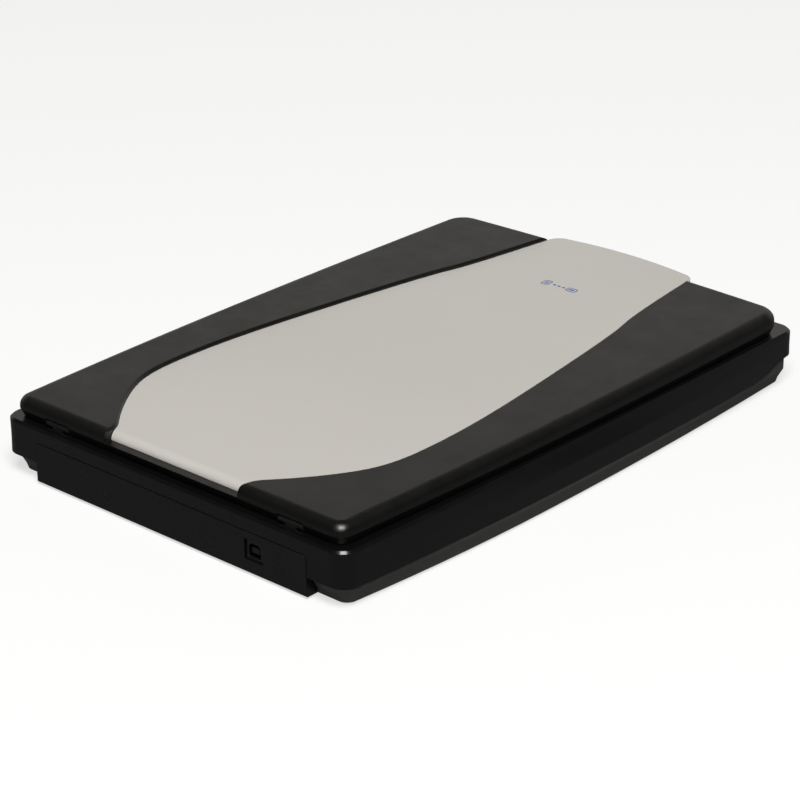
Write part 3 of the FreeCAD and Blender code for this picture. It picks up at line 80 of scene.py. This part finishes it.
# Studio: a dark room with a pale backdrop on the far side, lit from over the camera's shoulder.
FLOOR_REACH = 30.0
FLOOR_GAP = 0.02 * MM         # the floor lies this far below the feet
SENSOR_WIDTH = 36.0
ROOM_LIGHT = 0.025
BACKDROP_LIGHT = 0.50
BACKDROP_FADE_SIDEWAYS = (0.15, 0.75)    # how squarely a direction points away from the camera
BACKDROP_FADE_UPWARDS = (0.40, 0.75)     # its rise, as a share of its length
FLOOR_SEEN_IN_GLOSS = 0.12
FLOOR_GLOW = 0.65             # share of the floor that looks evenly white to the camera
KEY_POWER = 240.0
KEY_PLACE = (-1.85, 1.75, 3.6)

# Camera: angles of the photograph and a point near the middle of the scanner.
AZIMUTH = math.radians(222.56)
ELEVATION = math.radians(24.07)
ROLL = math.radians(-0.62)
DISTANCE = 1.6166
LENS = 127.7
TARGET = Vector((0.00613, (CAD_LOW.y + CAD_HIGH.y) / 2 + 0.00655, 0.015))


# ---------------------------------------------------------------- node helpers
class Tree:
    """A material's node tree with short calls for the nodes used here."""

    def __init__(self, name):
        self.material = bpy.data.materials.new(name)
        self.material.use_nodes = True
        self.nodes = self.material.node_tree.nodes
        self.links = self.material.node_tree.links
        self.nodes.clear()
        self.out = self.add("ShaderNodeOutputMaterial")
        self.bsdf = self.add("ShaderNodeBsdfPrincipled")
        self.links.new(self.bsdf.outputs[0], self.out.inputs[0])
        self.coords = self.add("ShaderNodeTexCoord").outputs["Object"]

    def add(self, kind, **values):
        node = self.nodes.new(kind)
        for key, value in values.items():
            setattr(node, key, value)
        return node

    def link(self, source, node, socket):
        self.links.new(source, node.inputs[socket])

    def put(self, node, socket, value):
        if isinstance(value, bpy.types.NodeSocket):
            self.links.new(value, node.inputs[socket])
        else:
            node.inputs[socket].default_value = value

    def scaled(self, scale):
        """Object coordinates stretched by a scale per axis."""
        node = self.add("ShaderNodeMapping")
        self.link(self.coords, node, "Vector")
        node.inputs["Scale"].default_value = scale
        return node.outputs[0]

    def noise(self, scale, detail=2.0, rough=0.5, vector=None):
        node = self.add("ShaderNodeTexNoise")
        self.link(vector or self.coords, node, "Vector")
        node.inputs["Scale"].default_value = scale
        node.inputs["Detail"].default_value = detail
        node.inputs["Roughness"].default_value = rough
        return node.outputs["Fac"]

    def cells(self, scale, feature="F1", vector=None):
        node = self.add("ShaderNodeTexVoronoi", feature=feature)
        self.link(vector or self.coords, node, "Vector")
        node.inputs["Scale"].default_value = scale
        return node.outputs["Distance"]

    def spread(self, value, low, high, start=0.3, end=0.7):
        """Maps value's start..end to low..high."""
        node = self.add("ShaderNodeMapRange")
        self.put(node, "Value", value)
        for key, number in (("From Min", start), ("From Max", end), ("To Min", low), ("To Max", high)):
            node.inputs[key].default_value = number
        return node.outputs[0]

    def sum(self, a, b, operation="ADD"):
        node = self.add("ShaderNodeMath", operation=operation)
        self.put(node, 0, a)
        self.put(node, 1, b)
        return node.outputs[0]

    def mix(self, factor, a, b, mode="MIX"):
        node = self.add("ShaderNodeMix", data_type="RGBA", blend_type=mode)
        self.put(node, 0, factor)
        self.put(node, 6, a)
        self.put(node, 7, b)
        return node.outputs[2]

    def edge_mask(self, radius):
        """0 on flat surface, towards 1 where an edge is rounded off within the radius."""
        bevel = self.add("ShaderNodeBevel", samples=4)
        bevel.inputs["Radius"].default_value = radius
        geometry = self.add("ShaderNodeNewGeometry")
        dot = self.add("ShaderNodeVectorMath", operation="DOT_PRODUCT")
        self.link(bevel.outputs[0], dot, 0)
        self.link(geometry.outputs["Normal"], dot, 1)
        return self.spread(dot.outputs["Value"], 1.0, 0.0, 0.75, 0.995)

    def bump(self, height, distance, strength=1.0, radius=0.0):
        node = self.add("ShaderNodeBump")
        node.inputs["Strength"].default_value = strength
        node.inputs["Distance"].default_value = distance
        self.put(node, "Height", height)
        if radius:
            bevel = self.add("ShaderNodeBevel", samples=4)
            bevel.inputs["Radius"].default_value = radius
            self.link(bevel.outputs[0], node, "Normal")
        self.link(node.outputs[0], self.bsdf, "Normal")


def rgb(r, g=None, b=None):
    """An opaque linear colour from sRGB values out of 255."""
    g = r if g is None else g
    b = r if b is None else b
    linear = []
    for value in (r, g, b):
        c = value / 255
        linear.append(c / 12.92 if c <= 0.04045 else ((c + 0.055) / 1.055) ** 2.4)
    return (*linear, 1.0)


def shade(colour, factor):
    return (colour[0] * factor, colour[1] * factor, colour[2] * factor, 1.0)


# ---------------------------------------------------------------- materials
def plastic(name, colour, rough, grain=0.0, grain_size=0.5, mottle=0.06, specular=0.5, wear=0.25, radius=0.3):
    """Moulded plastic: a fine mould texture, faint flow mottling, uneven sheen, and edges rubbed paler."""
    t = Tree(name)
    broad = t.noise(14.0, 4.0, 0.6)
    fine = t.noise(1000.0 / grain_size, 2.0, 0.6)
    tone = t.mix(t.spread(broad, 0.0, 1.0), shade(colour, 1 - mottle), shade(colour, 1 + mottle))
    tone = t.mix(t.spread(fine, 0.0, 0.5 * mottle + 0.08 * min(grain, 1.0)), tone, shade(colour, 1.6))
    edge = t.edge_mask(radius * MM)
    rubbed = t.sum(edge, t.spread(t.noise(240.0, 3.0), 0.15, 1.0), "MULTIPLY")
    pale = (colour[0] * 1.5 + 0.012, colour[1] * 1.5 + 0.012, colour[2] * 1.5 + 0.012, 1.0)
    t.put(t.bsdf, "Base Color", t.mix(t.sum(rubbed, wear, "MULTIPLY"), tone, pale))
    uneven = t.spread(t.noise(55.0, 5.0, 0.65), rough - 0.05, rough + 0.05)
    t.put(t.bsdf, "Roughness", t.sum(uneven, t.sum(rubbed, 0.08, "MULTIPLY")))
    t.bsdf.inputs["Specular IOR Level"].default_value = specular
    t.bump(fine, (0.012 + 0.05 * grain) * MM, 0.35 + 0.5 * min(grain, 1.0), radius * MM)
    return t.material


def metal(name, colour, rough, stretch=(1, 1, 1), grain=900.0, radius=0.2, tarnish=0.12):
    """Metal with drawn or ground lines along the axis whose stretch is small, and faint tarnish."""
    t = Tree(name)
    lines = t.noise(grain, 3.0, 0.6, t.scaled(stretch))
    cloud = t.noise(70.0, 4.0, 0.6)
    tone = t.mix(t.spread(cloud, 0.0, tarnish), colour, shade(colour, 0.45))
    tone = t.mix(t.spread(lines, 0.0, 0.25), tone, shade(colour, 0.75))
    t.put(t.bsdf, "Base Color", tone)
    t.bsdf.inputs["Metallic"].default_value = 1.0
    t.put(t.bsdf, "Roughness", t.sum(t.spread(lines, rough - 0.05, rough + 0.08), t.spread(cloud, 0.0, 0.06)))
    t.bump(lines, 0.01 * MM, 0.25, radius * MM)
    return t.material


def rubber(name, colour, grain_size=0.8):
    t = Tree(name)
    fine = t.noise(1000.0 / grain_size, 4.0, 0.7)
    dust = t.noise(90.0, 5.0, 0.7)
    t.put(t.bsdf, "Base Color", t.mix(t.spread(dust, 0.0, 0.35, 0.5, 0.8), colour, shade(colour, 2.6)))
    t.put(t.bsdf, "Roughness", t.spread(fine, 0.72, 0.9))
    t.bsdf.inputs["Specular IOR Level"].default_value = 0.35
    t.bump(fine, 0.05 * MM, 0.5, 0.25 * MM)
    return t.material


def clear(name, colour, rough=0.02, alpha=0.25):
    """Glass or clear plastic as a thin dark-tinted sheet that mirrors, with dust specks and smears."""
    t = Tree(name)
    smear = t.noise(18.0, 5.0, 0.7)
    speck = t.cells(900.0)
    dust = t.spread(speck, 0.05, 0.0, 0.03, 0.07)
    t.put(t.bsdf, "Base Color", t.mix(dust, colour, (0.9, 0.9, 0.88, 1.0)))
    t.put(t.bsdf, "Roughness", t.spread(smear, rough, rough + 0.06, 0.4, 0.75))
    t.put(t.bsdf, "Alpha", t.sum(dust, alpha))
    t.bsdf.inputs["IOR"].default_value = 1.5
    t.bsdf.inputs["Specular IOR Level"].default_value = 1.0
    t.bump(smear, 0.004 * MM, 0.2)
    return t.material


def board(name, colour):
    """A circuit board: solder mask with faint traces and rows of tinned pads."""
    t = Tree(name)
    brick = t.add("ShaderNodeTexBrick", offset=0.5)
    t.link(t.scaled((1, 1, 0)), brick, "Vector")
    brick.inputs["Scale"].default_value = 260.0
    brick.inputs["Mortar Size"].default_value = 0.06
    brick.inputs["Color1"].default_value = colour
    brick.inputs["Color2"].default_value = shade(colour, 0.8)
    brick.inputs["Mortar"].default_value = shade(colour, 1.7)
    pads = t.cells(420.0)
    dots = t.spread(pads, 1.0, 0.0, 0.10, 0.14)
    sparse = t.sum(dots, t.spread(t.noise(60.0, 1.0), 0.0, 1.0, 0.52, 0.56), "MULTIPLY")
    t.put(t.bsdf, "Base Color", t.mix(sparse, brick.outputs[0], (0.55, 0.53, 0.48, 1.0)))
    t.put(t.bsdf, "Metallic", t.sum(sparse, 0.8, "MULTIPLY"))
    t.put(t.bsdf, "Roughness", t.spread(t.noise(400.0), 0.28, 0.42))
    t.bump(sparse, 0.05 * MM, 0.4, 0.15 * MM)
    return t.material


def silver_paint(name):
    """Satin silver-grey paint: very fine flake, faint orange peel, a slow drift in tone, and painted shade
    along its rounded edges.
    """
    t = Tree(name)
    base = (0.560, 0.545, 0.510, 1.0)
    flake = t.cells(2600.0)
    drift = t.noise(5.0, 2.0, 0.5)
    peel = t.noise(650.0, 2.0, 0.5)
    tone = t.mix(t.spread(drift, 0.0, 1.0), shade(base, 0.975), shade(base, 1.025))
    tone = t.mix(t.spread(flake, 0.10, 0.0, 0.1, 0.7), tone, shade(base, 1.35))
    # Painted shade: the silver is coloured darker within a third of a millimetre of each rounded edge, a dark
    # line along the panel's border.
    edge = t.edge_mask(0.35 * MM)
    t.put(t.bsdf, "Base Color", t.mix(t.sum(edge, 0.25, "MULTIPLY"), tone, shade(base, 0.6)))
    t.bsdf.inputs["Metallic"].default_value = 0.12
    t.put(t.bsdf, "Roughness", t.spread(t.noise(40.0, 4.0, 0.6), 0.42, 0.50))
    t.bsdf.inputs["Specular IOR Level"].default_value = 0.4
    t.bump(t.sum(peel, t.sum(flake, 0.3, "MULTIPLY")), 0.012 * MM, 0.35, 0.4 * MM)
    return t.material


def ribbon(name):
    """Flat cable: parallel conductors showing through a pale film."""
    t = Tree(name)
    wave = t.add("ShaderNodeTexWave", wave_type="BANDS", bands_direction="X")
    t.link(t.coords, wave, "Vector")
    wave.inputs["Scale"].default_value = 320.0
    wave.inputs["Distortion"].default_value = 0.0
    lines = wave.outputs["Fac"]
    tone = t.mix(t.spread(lines, 0.0, 1.0, 0.35, 0.65), (0.62, 0.62, 0.60, 1.0), (0.80, 0.79, 0.74, 1.0))
    t.put(t.bsdf, "Base Color", tone)
    t.put(t.bsdf, "Roughness", t.spread(t.noise(60.0, 3.0), 0.3, 0.45))
    t.bump(lines, 0.04 * MM, 0.4)
    return t.material


def foam(name):
    """Pale open-cell foam, its pores coloured dark as painted shade."""
    t = Tree(name)
    pores = t.cells(1500.0)
    cloud = t.noise(25.0, 4.0, 0.6)
    # Painted shade: the middle of each pore is coloured dark, standing for the shade inside the cell.
    tone = t.mix(t.spread(pores, 0.0, 1.0, 0.05, 0.6), (0.16, 0.16, 0.155, 1.0), (0.62, 0.61, 0.58, 1.0))
    t.put(t.bsdf, "Base Color", t.mix(t.spread(cloud, 0.0, 0.25), tone, (0.50, 0.48, 0.43, 1.0)))
    t.put(t.bsdf, "Roughness", t.spread(pores, 0.98, 0.85))
    t.bsdf.inputs["Specular IOR Level"].default_value = 0.15
    t.bsdf.inputs["Sheen Weight"].default_value = 0.15
    t.bump(pores, 0.25 * MM, 0.8)
    return t.material


def ink(name, colour):
    """Screen-printed ink: slightly uneven coverage with a satin face."""
    t = Tree(name)
    cover = t.noise(2400.0, 3.0, 0.6)
    t.put(t.bsdf, "Base Color", t.mix(t.spread(cover, 0.0, 0.3), colour, shade(colour, 0.7)))
    t.put(t.bsdf, "Roughness", t.spread(cover, 0.4, 0.55))
    t.bump(cover, 0.005 * MM, 0.4)
    return t.material


def film(name):
    """The document mat's smooth white face."""
    t = Tree(name)
    fibre = t.noise(900.0, 4.0, 0.7, t.scaled((1, 0.35, 1)))
    cloud = t.noise(9.0, 4.0, 0.6)
    tone = t.mix(t.spread(cloud, 0.0, 1.0), (0.84, 0.84, 0.81, 1.0), (0.89, 0.89, 0.87, 1.0))
    t.put(t.bsdf, "Base Color", t.mix(t.spread(fibre, 0.0, 0.12), tone, (0.72, 0.72, 0.70, 1.0)))
    t.put(t.bsdf, "Roughness", t.spread(fibre, 0.45, 0.6))
    t.bump(fibre, 0.015 * MM, 0.4)
    return t.material


MATERIALS = {
    "ink_blue": ink("ink_blue", rgb(62, 84, 158)),
    "ink_white": ink("ink_white", rgb(214, 214, 210)),
    "gloss_black": plastic("gloss_black", rgb(10, 10, 10), 0.22, grain=0.06, grain_size=0.9, radius=0.5,
                           wear=0.15),
    "matte_black": plastic("matte_black", rgb(48, 48, 46), 0.62, grain=0.6, grain_size=0.45, radius=0.5),
    "satin_black": plastic("satin_black", rgb(11, 11, 11), 0.30, grain=0.15, grain_size=0.5, radius=0.3),
    "lid_charcoal": plastic("lid_charcoal", rgb(8, 8, 7), 0.36, grain=0.5, grain_size=0.42, radius=0.5,
                            mottle=0.05, specular=0.5),
    "silver_paint": silver_paint("silver_paint"),
    "liner_black": plastic("liner_black", rgb(36, 36, 37), 0.55, grain=0.5, radius=0.2),
    "platen_glass": clear("platen_glass", (0.030, 0.055, 0.046, 1.0), 0.02, 0.30),
    "sensor_glass": clear("sensor_glass", (0.040, 0.060, 0.055, 1.0), 0.03, 0.30),
    "lens_block": clear("lens_block", (0.30, 0.32, 0.36, 1.0), 0.10, 0.75),
    "light_guide_clear": clear("light_guide_clear", (0.85, 0.90, 0.86, 1.0), 0.12, 0.5),
    "clear_lens": clear("clear_lens", (0.70, 0.85, 0.76, 1.0), 0.10, 0.7),
    "black_tape": rubber("black_tape", (0.012, 0.012, 0.012, 1.0), 0.5),
    "white_strip": film("white_strip"),
    "mat_white": film("mat_white"),
    "foam_grey": foam("foam_grey"),
    "black_rubber": rubber("black_rubber", (0.022, 0.022, 0.022, 1.0)),
    "belt_rubber": rubber("belt_rubber", (0.020, 0.020, 0.020, 1.0), 0.5),
    "dark_steel": metal("dark_steel", (0.10, 0.10, 0.105, 1.0), 0.38),
    "zinc_steel": metal("zinc_steel", (0.62, 0.62, 0.60, 1.0), 0.30, tarnish=0.3),
    "spring_steel": metal("spring_steel", (0.48, 0.48, 0.48, 1.0), 0.28),
    "polished_steel": metal("polished_steel", (0.74, 0.74, 0.75, 1.0), 0.14, (1, 0.05, 1)),
    "motor_can": metal("motor_can", (0.58, 0.57, 0.54, 1.0), 0.34, (1, 1, 0.08), 500.0),
    # Painted shade: the port's metal shell is coloured near-black so that the inside of the port looks
    # shaded.
    "port_metal": metal("port_metal", (0.10, 0.10, 0.10, 1.0), 0.34, (1, 0.1, 1)),
    "brass_pinion": metal("brass_pinion", (0.72, 0.53, 0.24, 1.0), 0.26, (1, 1, 0.1)),
    "bronze": metal("bronze", (0.50, 0.36, 0.20, 1.0), 0.42),
    "acetal_white": plastic("acetal_white", rgb(226, 224, 216), 0.32, grain=0.1, wear=0.1, radius=0.15),
    "holder_black": plastic("holder_black", rgb(38, 38, 39), 0.5, grain=0.4, radius=0.25),
    "sensor_black": plastic("sensor_black", rgb(32, 32, 33), 0.45, grain=0.3, radius=0.2),
    "hinge_black": plastic("hinge_black", rgb(14, 14, 14), 0.45, grain=0.3, radius=0.3, wear=0.1),
    "button_black": plastic("button_black", rgb(112, 113, 114), 0.30, grain=0.1, radius=0.3),
    "lock_grey": plastic("lock_grey", rgb(150, 150, 150), 0.45, grain=0.3, radius=0.2),
    "board_green": board("board_green", (0.020, 0.110, 0.045, 1.0)),
    "chip_black": plastic("chip_black", rgb(34, 34, 35), 0.5, grain=0.5, grain_size=0.2, radius=0.12),
    "socket_plastic": plastic("socket_plastic", rgb(222, 218, 205), 0.42, grain=0.2, radius=0.12),
    "switch_plastic": plastic("switch_plastic", rgb(60, 60, 60), 0.42, grain=0.2, radius=0.12),
    "cable_white": ribbon("cable_white"),
}
# Painted shade: the port's insert is painted near-black so that the opening reads as a dark, shaded hole.
PAINTED_OTHERWISE = {"port_insert": "hinge_black"}
for row in frame["record"]["subparts"]:
    node = NODES[row["node"]]
    for slot in node.material_slots:
        slot.material = MATERIALS[PAINTED_OTHERWISE.get(row["node"], row["material_slot"])]


# ---------------------------------------------------------------- soft pieces
def soft_slab(name, low, high, edge, wave, cell, seed):
    """A padded sheet: a rounded block with a fine grid and a gentle hand-laid waviness."""
    mesh = bmesh.new()
    bmesh.ops.create_cube(mesh, size=1.0)
    size = high - low
    centre = (low + high) / 2
    for v in mesh.verts:
        v.co = Vector((v.co.x * size.x, v.co.y * size.y, v.co.z * size.z)) + centre
    bmesh.ops.bevel(mesh, geom=list(mesh.edges), offset=edge, segments=4, profile=0.5, affect="EDGES")
    for axis in (0, 1):
        normal = Vector((1, 0, 0)) if axis == 0 else Vector((0, 1, 0))
        count = int(size[axis] / cell)
        for i in range(1, count):
            point = low + normal * (size[axis] * i / count)
            bmesh.ops.bisect_plane(mesh, geom=mesh.verts[:] + mesh.edges[:] + mesh.faces[:], plane_co=point,
                                   plane_no=normal)
    half = size / 2
    for v in mesh.verts:
        p = v.co - centre
        inside = max(0.0, 1 - (p.x / half.x) ** 6) * max(0.0, 1 - (p.y / half.y) ** 6)
        ripple = noise.noise(Vector((v.co.x * 38 + seed, v.co.y * 38, seed * 3)))
        side = noise.noise(Vector((v.co.x * 60, v.co.y * 60 + seed, 5.0)))
        v.co.z += inside * (wave * ripple)
        pull = (1 - inside) * wave * 1.5 * (side - 0.5)
        v.co.x += pull * (1 if p.x > 0 else -1)
        v.co.y += pull * (1 if p.y > 0 else -1)
    for face in mesh.faces:
        face.smooth = True
    data = bpy.data.meshes.new(name)
    bmesh.ops.recalc_face_normals(mesh, faces=mesh.faces)
    mesh.to_mesh(data)
    mesh.free()
    piece = bpy.data.objects.new(name, data)
    bpy.context.scene.collection.objects.link(piece)
    return piece


def dress(piece, body, slot):
    piece.data.materials.clear()
    piece.data.materials.append(MATERIALS[slot])
    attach(piece, body)


mat_low, mat_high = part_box("document_mat")
mat = soft_slab("mat_sheet", mat_low, mat_high, edge=0.18 * MM, wave=0.04 * MM, cell=12 * MM, seed=2.0)
dress(mat, "lid", "mat_white")
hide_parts("document_mat")

foam_low, foam_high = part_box("foam_pad")
foam_high -= Vector((0, 0, 0.1 * MM))    # clear of the liner above it
pad = soft_slab("foam_sheet", foam_low, foam_high, edge=1.1 * MM, wave=0.10 * MM, cell=8 * MM, seed=7.0)
dress(pad, "lid", "foam_grey")
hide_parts("foam_pad")


# ---------------------------------------------------------------- printed marks
def stroke(mesh, x, y, half_x, half_y, thick, hole=None):
    """A flat printed bar with clipped corners, or a ring when hole gives the inner half sizes."""
    def corners(hx, hy, clip):
        ring = []
        for sx, sy, first in ((1, 1, "x"), (-1, 1, "y"), (-1, -1, "x"), (1, -1, "y")):
            a = (x + sx * hx, y + sy * (hy - clip))
            b = (x + sx * (hx - clip), y + sy * hy)
            ring += [a, b] if first == "x" else [b, a]
        return ring

    outer = corners(half_x, half_y, min(half_x, half_y) * 0.35)
    inner = corners(hole[0], hole[1], min(hole) * 0.25) if hole else []
    levels = []
    for ring in (outer, inner):
        levels.append([[mesh.verts.new((px, py, z)) for px, py in ring] for z in (0.0, thick)])
    count = len(outer)
    for (low_ring, high_ring), flip in zip(levels, (False, True)):
        for i in range(len(low_ring)):
            j = (i + 1) % count
            face = [low_ring[i], low_ring[j], high_ring[j], high_ring[i]]
            mesh.faces.new(face[::-1] if flip else face)
    if not hole:
        mesh.faces.new(levels[0][1])
        mesh.faces.new(levels[0][0][::-1])
        return
    for level, flip in ((1, False), (0, True)):
        for i in range(count):
            j = (i + 1) % count
            face = [levels[0][level][i], levels[0][level][j], levels[1][level][j], levels[1][level][i]]
            mesh.faces.new(face[::-1] if flip else face)


def printed(name, body, ink_name, strokes, place, across, up):
    """Thin ink strokes on a surface: place is a point on it, across and up lie in it."""
    mesh = bmesh.new()
    for x, y, half_x, half_y, hole in strokes:
        stroke(mesh, x * MM, y * MM, half_x * MM, half_y * MM, INK_THICK,
               (hole[0] * MM, hole[1] * MM) if hole else None)
    turn = Matrix((across, up, across.cross(up))).transposed().to_4x4()
    bmesh.ops.transform(mesh, matrix=Matrix.Translation(place) @ turn, verts=mesh.verts)
    data = bpy.data.meshes.new(name)
    mesh.to_mesh(data)
    mesh.free()
    data.materials.append(MATERIALS[ink_name])
    piece = bpy.data.objects.new(name, data)
    bpy.context.scene.collection.objects.link(piece)
    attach(piece, body)


def surface_point(node, start, direction):
    """Where a ray first meets a CAD piece, with the surface normal there."""
    hit, place, normal, _ = NODES[node].ray_cast(start, direction)
    return place, normal


INK_THICK = 0.04 * MM
# Strokes in millimetres: x, y, half width, half height, and a ring's inner half sizes.
PAGE = [(0, 0, 2.0, 2.6, (1.6, 2.2)), (0, 1.1, 1.0, 0.16, None), (0, 0.2, 1.0, 0.16, None),
        (0, -0.7, 1.0, 0.16, None)]
PANEL_MARK = [(-9.5, 0, 2.7, 3.4, (2.1, 2.8)), (-9.5, 1.4, 1.4, 0.3, None), (-9.5, 0.1, 1.4, 0.3, None),
              (-9.5, -1.2, 1.4, 0.3, None), (-3.4, 0, 1.0, 0.7, None), (0.0, 0, 1.0, 0.7, None),
              (3.4, 0, 1.0, 0.7, None), (9.5, 0, 3.6, 2.6, (2.9, 1.9)), (9.5, 0, 1.9, 0.8, None)]
BUTTON_MARKS = {
    "scan_button": PAGE,
    "copy_button": [(-1.8, 0.3, 1.5, 1.9, (1.2, 1.6)), (1.8, -0.3, 1.5, 1.9, (1.2, 1.6))],
    "mail_button": [(0, 0, 2.6, 1.7, (2.3, 1.4)), (0, 0.25, 1.5, 0.18, None)],
    "file_button": [(0, -0.2, 2.5, 1.6, (2.2, 1.3)), (-1.5, 1.75, 0.9, 0.3, None)],
}
MARK_Y = -0.128               # the panel's mark, from the middle of the footprint

place, normal = surface_point("lid_panel", Vector((0, MARK_Y, 0.2)), Vector((0, 0, -1)))
across = Vector((-1, 0, 0))
printed("panel_mark", "lid", "ink_blue", PANEL_MARK, place, across, normal.cross(across))
for name, strokes in BUTTON_MARKS.items():
    low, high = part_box(name)
    middle = (low + high) / 2
    place, _ = surface_point(name, Vector((middle.x, low.y - 0.01, middle.z)), Vector((0, 1, 0)))
    printed(name + "_mark", name, "ink_white", strokes, place, Vector((1, 0, 0)), Vector((0, 0, 1)))


# ---------------------------------------------------------------- floor, light and camera
def flat_floor():
    data = bpy.data.meshes.new("floor")
    corners = [(x * FLOOR_REACH, y * FLOOR_REACH, 0) for x, y in ((-1, -1), (1, -1), (1, 1), (-1, 1))]
    data.from_pydata(corners, [], [(0, 1, 2, 3)])
    floor = bpy.data.objects.new("floor", data)
    floor.location.z = CAD_LOW.z - FLOOR_GAP
    bpy.context.scene.collection.objects.link(floor)
    t = Tree("pale_floor")
    t.put(t.bsdf, "Base Color", (0.90, 0.90, 0.90, 1.0))
    t.bsdf.inputs["Roughness"].default_value = 0.9
    t.bsdf.inputs["Specular IOR Level"].default_value = 0.0
    dim = t.add("ShaderNodeEmission")
    dim.inputs["Color"].default_value = (FLOOR_SEEN_IN_GLOSS,) * 3 + (1.0,)
    rays = t.add("ShaderNodeLightPath")
    glow = t.add("ShaderNodeEmission")
    seen = t.add("ShaderNodeMixShader")
    t.put(seen, 0, t.sum(rays.outputs["Is Camera Ray"], FLOOR_GLOW, "MULTIPLY"))
    t.links.new(t.bsdf.outputs[0], seen.inputs[1])
    t.links.new(glow.outputs[0], seen.inputs[2])
    both = t.add("ShaderNodeMixShader")
    t.links.new(rays.outputs["Is Glossy Ray"], both.inputs[0])
    t.links.new(seen.outputs[0], both.inputs[1])
    t.links.new(dim.outputs[0], both.inputs[2])
    t.links.new(both.outputs[0], t.out.inputs[0])
    data.materials.append(t.material)


def area_light(name, place, aim, size, power, colour=(1, 1, 1)):
    light = bpy.data.lights.new(name, "AREA")
    light.shape = "RECTANGLE"
    light.size = size[0]
    light.size_y = size[1]
    light.energy = power
    light.color = colour
    lamp = bpy.data.objects.new(name, light)
    lamp.location = place
    lamp.rotation_euler = (Vector(aim) - Vector(place)).to_track_quat("-Z", "Y").to_euler()
    bpy.context.scene.collection.objects.link(lamp)


def studio_world():
    """White to the camera; to everything else a dark room with a pale backdrop low on the far side."""
    world = bpy.data.worlds.new("studio")
    bpy.context.scene.world = world
    world.use_nodes = True
    nodes = world.node_tree.nodes
    links = world.node_tree.links
    nodes.clear()

    def ramp(value, start, end, low, high):
        node = nodes.new("ShaderNodeMapRange")
        for key, number in (("From Min", start), ("From Max", end), ("To Min", low), ("To Max", high)):
            node.inputs[key].default_value = number
        links.new(value, node.inputs["Value"])
        return node.outputs[0]

    out = nodes.new("ShaderNodeOutputWorld")
    coords = nodes.new("ShaderNodeTexCoord")
    split = nodes.new("ShaderNodeSeparateXYZ")
    links.new(coords.outputs["Generated"], split.inputs[0])
    away = nodes.new("ShaderNodeVectorMath")
    away.operation = "DOT_PRODUCT"
    links.new(coords.outputs["Generated"], away.inputs[0])
    away.inputs[1].default_value = (-math.sin(AZIMUTH), math.cos(AZIMUTH), 0)
    both_ways = nodes.new("ShaderNodeMath")
    both_ways.operation = "MULTIPLY"
    links.new(ramp(away.outputs["Value"], *BACKDROP_FADE_SIDEWAYS, 0.0, 1.0), both_ways.inputs[0])
    links.new(ramp(split.outputs["Z"], *BACKDROP_FADE_UPWARDS, 1.0, 0.0), both_ways.inputs[1])
    room = nodes.new("ShaderNodeBackground")
    room.inputs["Color"].default_value = (1.0, 0.97, 0.93, 1.0)
    links.new(ramp(both_ways.outputs[0], 0.0, 1.0, ROOM_LIGHT, BACKDROP_LIGHT), room.inputs["Strength"])
    white = nodes.new("ShaderNodeBackground")
    rays = nodes.new("ShaderNodeLightPath")
    both = nodes.new("ShaderNodeMixShader")
    links.new(rays.outputs["Is Camera Ray"], both.inputs[0])
    links.new(room.outputs[0], both.inputs[1])
    links.new(white.outputs[0], both.inputs[2])
    links.new(both.outputs[0], out.inputs[0])


def photo_camera():
    back = Vector((math.sin(AZIMUTH) * math.cos(ELEVATION), -math.cos(AZIMUTH) * math.cos(ELEVATION),
                   math.sin(ELEVATION)))
    right = Vector((math.cos(AZIMUTH), math.sin(AZIMUTH), 0))
    up = back.cross(right)
    side = right * math.cos(ROLL) + up * math.sin(ROLL)
    head = up * math.cos(ROLL) - right * math.sin(ROLL)
    data = bpy.data.cameras.new("camera")
    data.lens = LENS
    data.sensor_width = SENSOR_WIDTH
    data.clip_end = 100.0
    camera = bpy.data.objects.new("camera", data)
    turn = Matrix((side, head, back)).transposed().to_4x4()
    camera.matrix_world = Matrix.Translation(TARGET + back * DISTANCE) @ turn
    bpy.context.scene.collection.objects.link(camera)
    bpy.context.scene.camera = camera


flat_floor()
studio_world()
area_light("key_softbox", KEY_PLACE, (0, 0, 0), (2.0, 2.0), KEY_POWER, (1.0, 0.99, 0.975))
photo_camera()
bpy.context.scene.view_settings.view_transform = "Standard"
bpy.context.scene.view_settings.look = "None"
